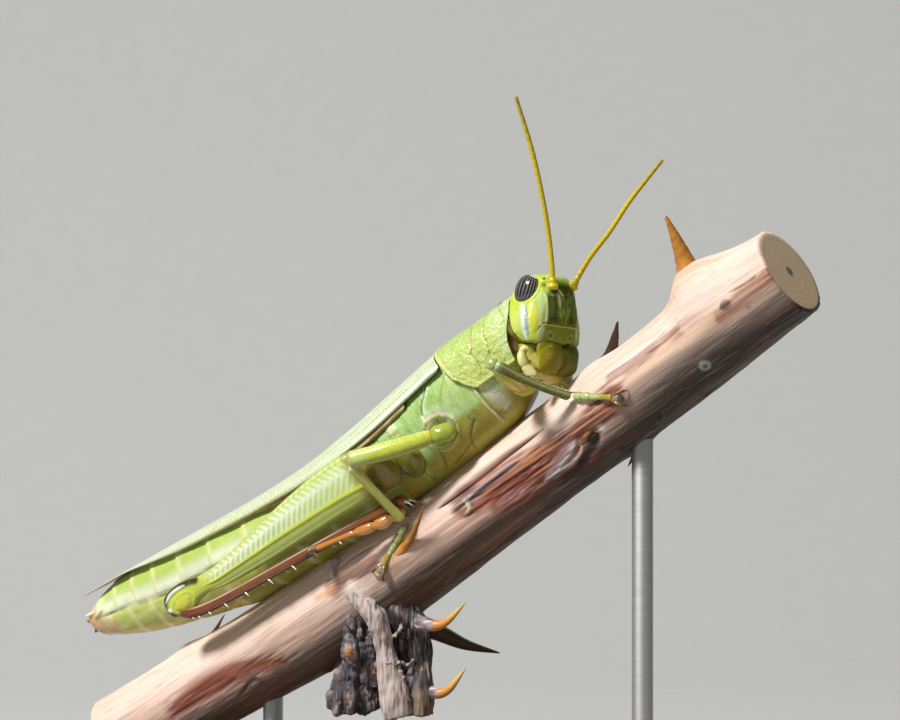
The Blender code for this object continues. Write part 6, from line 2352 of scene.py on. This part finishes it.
@dataclass
class DeadGrowth:
    """The dead side shoot that hangs from the cane, with its thorns, and the gnarled dry twig beside it."""

    pale_strand: Route = (
        (-12.4, 6.4, 28.4), (-10.3, 4.0, 25.4), (-8.8, 2.7, 23.9), (-7.6, 2.4, 22.0), (-6.9, 2.5, 19.7),
        (-6.4, 2.6, 17.1), (-5.75, 2.7, 14.0), (-5.3, 2.8, 12.2),
    )
    pale_sizes: tuple[float, ...] = (1.3, 1.25, 1.2, 1.1, 0.95, 1.25, 1.7, 1.75)
    dark_strand: Route = (
        (-6.6, 4.6, 25.6), (-4.9, 3.9, 22.8), (-3.4, 3.9, 20.3), (-3.2, 3.9, 17.6), (-3.6, 3.9, 14.4),
        (-3.7, 3.9, 12.2),
    )
    dark_sizes: tuple[float, ...] = (2.2, 2.0, 1.3, 1.35, 1.9, 2.0)
    # Route of the black core that stands in as painted shade for the gap between the strands.
    heart: Route = ((-6.6, 5.2, 25.0), (-5.4, 5.0, 18.0), (-4.9, 5.0, 12.2))
    heart_sizes: tuple[float, ...] = (1.9, 1.9, 1.9)
    thorns: tuple[tuple[Route, tuple[float, ...], Tone], ...] = (
        (((-5.4, 3.9, 23.0), (-2.6, 2.8, 22.0), (-0.6, 1.8, 22.2), (1.7, 0.6, 24.5)),
         (1.6, 1.15, 0.72, 0.5, 0.33, 0.05), Tone.LILAC),
        (((-4.6, 4.2, 16.2), (-2.2, 3.2, 14.8), (-0.3, 2.4, 15.0), (1.7, 1.6, 17.5)),
         (1.7, 1.1, 0.68, 0.5, 0.33, 0.05), Tone.LILAC),
        (((-5.0, 4.9, 22.0), (-1.9, 5.2, 21.2), (1.6, 5.9, 19.6), (5.4, 6.5, 18.6)),
         (1.7, 1.25, 0.95, 0.7, 0.4, 0.06), Tone.UMBER),
        (((-9.9, 3.4, 20.3), (-10.5, 2.5, 21.3), (-11.05, 2.2, 22.1)), (0.2, 0.12, 0.03), Tone.UMBER),
    )
    twigs: tuple[tuple[Route, tuple[float, ...]], ...] = (
        (((-10.3, 5.0, 23.4), (-10.2, 3.9, 19.7), (-10.6, 4.0, 17.4), (-11.2, 4.2, 14.8), (-11.6, 4.4, 12.3)),
         (1.3, 1.2, 1.35, 1.1, 1.5, 1.7, 1.5)),
        (((-8.0, 4.8, 21.5), (-8.3, 4.4, 19.4), (-8.3, 4.6, 17.2), (-8.1, 4.8, 15.0)), (0.9, 1.4, 1.4, 1.2)),
        (((-10.2, 5.0, 17.6), (-9.3, 5.0, 15.6), (-8.6, 5.0, 12.3)), (1.2, 1.5, 1.35)),
    )
    bark: Bark = Bark("dead bark", WORLD, streak_size=(0.4, 0.4, 3.2), streaks=0.55, relief=0.2,
                      roughness=0.8)
    gnarl: Bark = Bark("gnarled bark", WORLD, streak_size=(0.7, 0.7, 1.1), streaks=0.6, relief=0.28,
                       roughness=0.7)
    horn: Cuticle = Cuticle("dead thorn", WORLD, roughness=0.45, coat=0.1, mottle=0.0,
                            mottle_size=(0.5, 0.5, 1.2), relief=0.04)

    def shoot(self) -> None:
        """Builds the shoot: a pale strand and a dark one, with a black core between them as painted shade in
        the gap.
        """
        strands = (
            (self.pale_strand, self.pale_sizes, Tone.GREY_BARK, Tone.LILAC, 61),
            (self.dark_strand, self.dark_sizes, Tone.SLATE, Tone.GREY_BARK, 62),
            # Painted shade: a black core behind the gap between the strands.
            (self.heart, self.heart_sizes, Tone.BLACK, Tone.UMBER, 63),
        )
        made = []
        for route, sizes, base, streak, seed in strands:
            points = tube(route, sizes, rows=230, columns=90, up=(1.0, 0.0, 0.0), blunt=0.02)
            skin = Skin(points, base)
            skin.paint(streak, 0.8 * ease(cloud(points, (0.35, 0.35, 3.0), seed), -0.2, 0.5))
            skin.paint(Tone.BRICK, 0.4 * ease(cloud(points, (0.5, 0.5, 1.6), seed + 3), 0.3, 0.7))
            z = points[..., 2]
            if base is not Tone.BLACK:
                skin.paint(Tone.WHITE, 0.55 * ease(cloud(points, (0.2, 0.2, 1.8), 64), 0.15, 0.6))
                fibres = ease(cloud(points, (0.4, 0.4, 1.8), 70), -0.3, 0.4)
                skin.paint(Tone.TAN, 0.4 * ease(-z, -19.0, -17.0) * fibres)
            if base is Tone.GREY_BARK:
                skin.paint(Tone.SILVER, 0.45)
            if base is Tone.SLATE:
                # Painted shade: black on the dark strand along the gap between the strands.
                gap_shade = -np.abs(z - 19.1) - 0.9 * points[..., 0] - 3.0
                skin.paint(Tone.BLACK, 0.93 * ease(gap_shade, -2.4, -1.6))
            relief = 0.16 * cloud(points, (0.6, 0.6, 4.0), seed)
            relief += 0.1 * cloud(points, (0.25, 0.25, 2.0), seed)
            relief += 0.16 * cloud(points, (0.9, 0.9, 0.9), seed + 1)
            made.append(skin.swell(relief).piece("strand", WORLD))
        made.extend(self.edges())
        shown(joined("dead_shoot", made), self.bark.material(), Slot.DEAD, ["perch_dead_shoot"])

    @staticmethod
    def edges() -> list[Piece]:
        """The torn beige edges above and below the shaded gap between the strands.

        Returns:
            The pieces.
        """
        routes = (
            ((-7.3, 1.9, 20.9), (-6.2, 2.1, 20.7), (-5.5, 2.3, 21.2), (-5.0, 2.4, 22.4)),
            ((-6.9, 1.6, 18.0), (-5.9, 1.7, 17.8), (-5.2, 1.9, 18.1), (-4.6, 2.2, 17.7), (-3.9, 2.4, 18.3)),
            ((-5.3, 1.5, 17.6), (-4.9, 1.6, 16.0), (-4.5, 1.7, 14.4), (-4.4, 1.7, 12.6)),
        )
        made = []
        for number, route in enumerate(routes):
            points = tube(route, (0.12, 0.2, 0.14, 0.18, 0.06), rows=90, columns=20, up=(0.1, 1.0, 0.1))
            skin = Skin(points, Tone.SILVER)
            skin.paint(Tone.UMBER, 0.3 + 0.6 * ease(cloud(points, 0.35, 65 + number), 0.0, 0.5))
            made.append(skin.swell(0.2 * cloud(points, 0.3, 66 + number)).piece("edge", WORLD))
        return made

    def prickles(self) -> None:
        """Builds the shoot's thorns, whose feet are swollen."""
        made = []
        for route, sizes, tone in self.thorns:
            points = tube(route, sizes, rows=70, columns=30, up=(0.0, 1.0, 0.1), blunt=0.03)
            skin = Skin(points, tone)
            share = skin.share
            if tone is Tone.LILAC:
                skin.paint(Tone.SLATE, 0.45 + 0.5 * cloud(points, (0.7, 0.2, 0.2), 67))
                skin.paint(Tone.WHITE, 0.8 * ease(cloud(points, (0.8, 0.2, 0.2), 69), 0.1, 0.6))
                skin.paint(Tone.THORN, 0.95 * ease(share, 0.42, 0.56))
                skin.paint(Tone.BUTTER, 0.6 * ease(share, 0.6, 0.9))
                skin.paint(Tone.UMBER, 0.6 * ease(share, 0.96, 1.0))
            skin.swell(0.14 * cloud(points, (0.8, 0.4, 0.4), 68) * ease(-share, -0.5, -0.3))
            made.append(skin.piece("prickle", WORLD))
        shown(joined("shoot_thorns", made), self.horn.material(), Slot.DEAD)

    def bud(self) -> None:
        """Builds the dry twig from three gnarled stems."""
        made = []
        for number, (route, sizes) in enumerate(self.twigs):
            points = tube(route, sizes, rows=170, columns=90, up=(1.0, 0.0, 0.0), blunt=0.05)
            folds = np.abs(cloud(points, (1.5, 1.5, 2.4), 71 + number))
            folds = folds + 0.35 * np.abs(cloud(points, (0.35, 0.35, 1.1), 72 + number))
            rings = 0.5 + 0.5 * np.sin(points[..., 2] * 8.0 + 3.0 * cloud(points, 1.2, 73))
            skin = Skin(points, Tone.SLATE)
            # Painted light: grey and lilac on the raised folds, slate left in the hollows.
            skin.paint(Tone.GREY_BARK, 0.6 * ease(folds, 0.3, 0.9))
            skin.paint(Tone.LILAC, 0.5 * ease(folds, 0.55, 1.0))
            skin.paint(Tone.BRICK, 0.35 * ease(cloud(points, 0.8, 74), 0.2, 0.6))
            skin.swell(0.7 * folds - 0.3 + 0.1 * rings * ease(points[..., 2], 18.0, 19.0))
            skin.mark([Mark([(-10.5, 2.2, 19.5), (-10.9, 2.3, 18.7)], 0.5, 0.25, Tone.AMBER, 0.95)])
            made.append(skin.piece("twig", WORLD))
        shown(joined("dead_bud", made), self.gnarl.material(), Slot.DEAD, ["perch_dead_bud"])

    def build(self) -> None:
        """Builds the shoot, its thorns and the twig."""
        self.shoot()
        self.prickles()
        self.bud()


@dataclass
class Stand:
    """The display stand: a walnut base and two steel rods in turned collars."""

    cane: Cane
    long: float = 78.0
    wide: float = 44.0
    thick: float = 5.0
    corner: float = 9.0
    corner_steps: int = 14
    edge: float = 0.8
    edge_steps: int = 5
    wear: float = 0.1
    wear_steps: int = 3
    yaw: float = -28.0
    rod_places: tuple[float, ...] = (-36.0, 19.0)
    rod_half_thick: float = 1.1
    collar: tuple[tuple[float, float], ...] = ((2.3, 0.9), (1.75, 0.35), (1.6, 0.9), (1.12, 0.25))
    segments: int = 48

    def base(self) -> None:
        """Builds the base from a block with rounded corners and edges."""
        bpy.ops.object.select_all(action="DESELECT")
        bpy.ops.mesh.primitive_cube_add(size=1.0, location=(0.0, 0.0, self.thick / 2 * MM),
                                        scale=(self.long * MM, self.wide * MM, self.thick * MM))
        piece = bpy.context.object
        piece.name = piece.data.name = "walnut_base"
        bpy.ops.object.transform_apply(location=True, rotation=True, scale=True)
        open_edges()
        bend(piece, lambda ends: abs(ends[1].z - ends[0].z) > self.thick / 2 * MM, self.corner * MM,
             self.corner_steps)
        bend(piece, lambda ends: all(end.z > self.thick * 0.9 * MM for end in ends), self.edge * MM,
             self.edge_steps)
        piece.rotation_euler.z = math.radians(self.yaw)
        bpy.ops.object.transform_apply(location=True, rotation=True, scale=True)
        bpy.ops.object.shade_smooth_by_angle(angle=SHARP)
        shown(piece, Walnut().material(), Slot.WALNUT, ["stand_base"])

    def rod(self, number: int, x: float, finish: Finish) -> None:
        """Builds a rod in its collar: a disc that is drawn up step by step.

        Args:
            number: The rod's number.
            x: Its place along the cane.
            finish: Its material.
        """
        held = BODY.world(np.array([self.cane.point(x, 180.0, -1.5)]))[0]
        foot = Vector((held[0], held[1], (self.thick - 0.02) * MM))
        bpy.ops.object.select_all(action="DESELECT")
        bpy.ops.mesh.primitive_circle_add(vertices=self.segments, radius=self.collar[0][0] * MM,
                                          fill_type="NGON", location=foot)
        piece = bpy.context.object
        piece.name = piece.data.name = f"steel_rod_{number}"
        bpy.ops.object.mode_set(mode="EDIT")
        bpy.ops.mesh.select_all(action="SELECT")
        radius, centre = self.collar[0][0], tuple(foot)
        rod_high = (held[2] - foot.z) / MM - sum(step[1] for step in self.collar)
        steps = [*self.collar, (self.rod_half_thick, rod_high)]
        for next_radius, height in steps:
            scale = next_radius / radius
            bpy.ops.mesh.extrude_region_move(TRANSFORM_OT_translate={"value": (0.0, 0.0, 0.0)})
            bpy.ops.transform.resize(value=(scale, scale, 1.0), center_override=centre)
            bpy.ops.mesh.extrude_region_move(TRANSFORM_OT_translate={"value": (0.0, 0.0, height * MM)})
            radius = next_radius
        bpy.ops.mesh.select_all(action="SELECT")
        bpy.ops.mesh.remove_doubles(threshold=WELD)
        bpy.ops.mesh.normals_make_consistent(inside=False)
        bpy.ops.object.mode_set(mode="OBJECT")
        bevel = piece.modifiers.new("worn edges", "BEVEL")
        bevel.width, bevel.segments, bevel.limit_method = self.wear * MM, self.wear_steps, "ANGLE"
        bpy.ops.object.modifier_apply(modifier=bevel.name)
        bpy.ops.object.transform_apply(location=True, rotation=True, scale=True)
        bpy.ops.object.shade_smooth_by_angle(angle=SHARP)
        shown(piece, finish, Slot.STEEL, [f"stand_rod_{number}"])

    def build(self) -> None:
        """Builds the stand."""
        self.base()
        steel = BrushedSteel().material()
        for number, x in enumerate(self.rod_places, 1):
            self.rod(number, x, steel)


@dataclass
class Studio:
    """A pale sweep for floor and backdrop, soft lights and the camera."""

    eye: Point = (0.0, -0.355, 0.053)
    lens: float = 135.0
    floor_half: float = 2.2
    floor_front: float = -2.2
    floor_back: float = 0.55
    wall_high: float = 1.8
    floor_bend: float = 0.35
    floor_steps: int = 24
    lamps: tuple[tuple[str, Point, float, float], ...] = (
        ("key", (-0.46, -0.36, 0.64), 0.16, 10.6),
        ("fill", (0.65, -0.5, 0.2), 0.7, 0.15),
        ("rim", (0.2, 0.45, 0.6), 0.4, 2.0),
    )
    aim: Point = (0.0, 0.0, 0.045)
    paper: tuple[Point, Point] = ((0.41, 0.41, 0.395), (0.44, 0.44, 0.425))
    room_tone: Point = (0.95, 0.97, 1.0)
    room_light: float = 0.1

    def sweep(self) -> None:
        """Builds the floor, which curves up into a wall."""
        bpy.ops.object.select_all(action="DESELECT")
        middle = (self.floor_front + self.floor_back) / 2
        bpy.ops.mesh.primitive_plane_add(size=1.0, location=(0.0, middle, 0.0))
        piece = bpy.context.object
        piece.name = piece.data.name = "studio_sweep"
        piece.scale = (2 * self.floor_half, self.floor_back - self.floor_front, 1.0)
        bpy.ops.object.transform_apply(location=True, rotation=True, scale=True)
        open_edges()
        pick_edges(piece, lambda ends: all(end.y > 0 for end in ends))
        bpy.ops.mesh.extrude_edges_move(TRANSFORM_OT_translate={"value": (0.0, 0.0, self.wall_high)})
        bpy.ops.object.mode_set(mode="OBJECT")
        bend(piece, lambda ends: all(end.y > 0 and end.z < 0.01 for end in ends), self.floor_bend,
             self.floor_steps)
        bpy.ops.object.shade_smooth()
        tree = Tree("studio paper")
        grain = tree.noise(tree.along(Axes((0.0, 0.0, 0.0)), (4.0, 4.0, 4.0)), 4.0)
        colour = tree.blend(grain, *self.paper)
        tree.drive("Base Color", colour)
        piece.data.materials.append(tree.finish(0.9))

    def lights(self) -> None:
        """Sets the lamps and the even light of the room."""
        for name, place, size, watts in self.lamps:
            bpy.ops.object.light_add(type="AREA", location=place)
            lamp = bpy.context.object
            lamp.name, lamp.data.size, lamp.data.energy = name, size, watts
            lamp.rotation_euler = (Vector(self.aim) - Vector(place)).to_track_quat("-Z", "Y").to_euler()
        world = bpy.data.worlds.new("room")
        world.use_nodes = True
        room = world.node_tree.nodes["Background"].inputs
        room["Color"].default_value = (*self.room_tone, 1.0)
        room["Strength"].default_value = self.room_light
        bpy.context.scene.world = world

    def camera(self) -> None:
        """Sets the camera, level and square to the front."""
        bpy.ops.object.camera_add(location=self.eye, rotation=(math.pi / 2, 0.0, 0.0))
        camera = bpy.context.object
        camera.name, camera.data.lens, camera.data.sensor_width = "camera", self.lens, 36.0
        camera.data.clip_start, camera.data.clip_end = 0.01, 20.0
        bpy.context.scene.camera = camera

    def build(self) -> None:
        """Builds the studio."""
        self.sweep()
        self.lights()
        self.camera()
        bpy.context.scene.view_settings.view_transform = "Standard"


def main() -> None:
    """Builds the looks, piece by piece."""
    logging.basicConfig(level=logging.INFO, format="%(message)s")
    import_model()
    bpy.ops.object.select_all(action="DESELECT")
    cane = Cane()
    for part in (Studio(), cane, DeadGrowth(), Thorax(), Abdomen(), Wings(), Head(), WalkingLegs(cane),
                 JumpingLegs(cane), Stand(cane)):
        part.build()


if __name__ == "__main__":
    main()
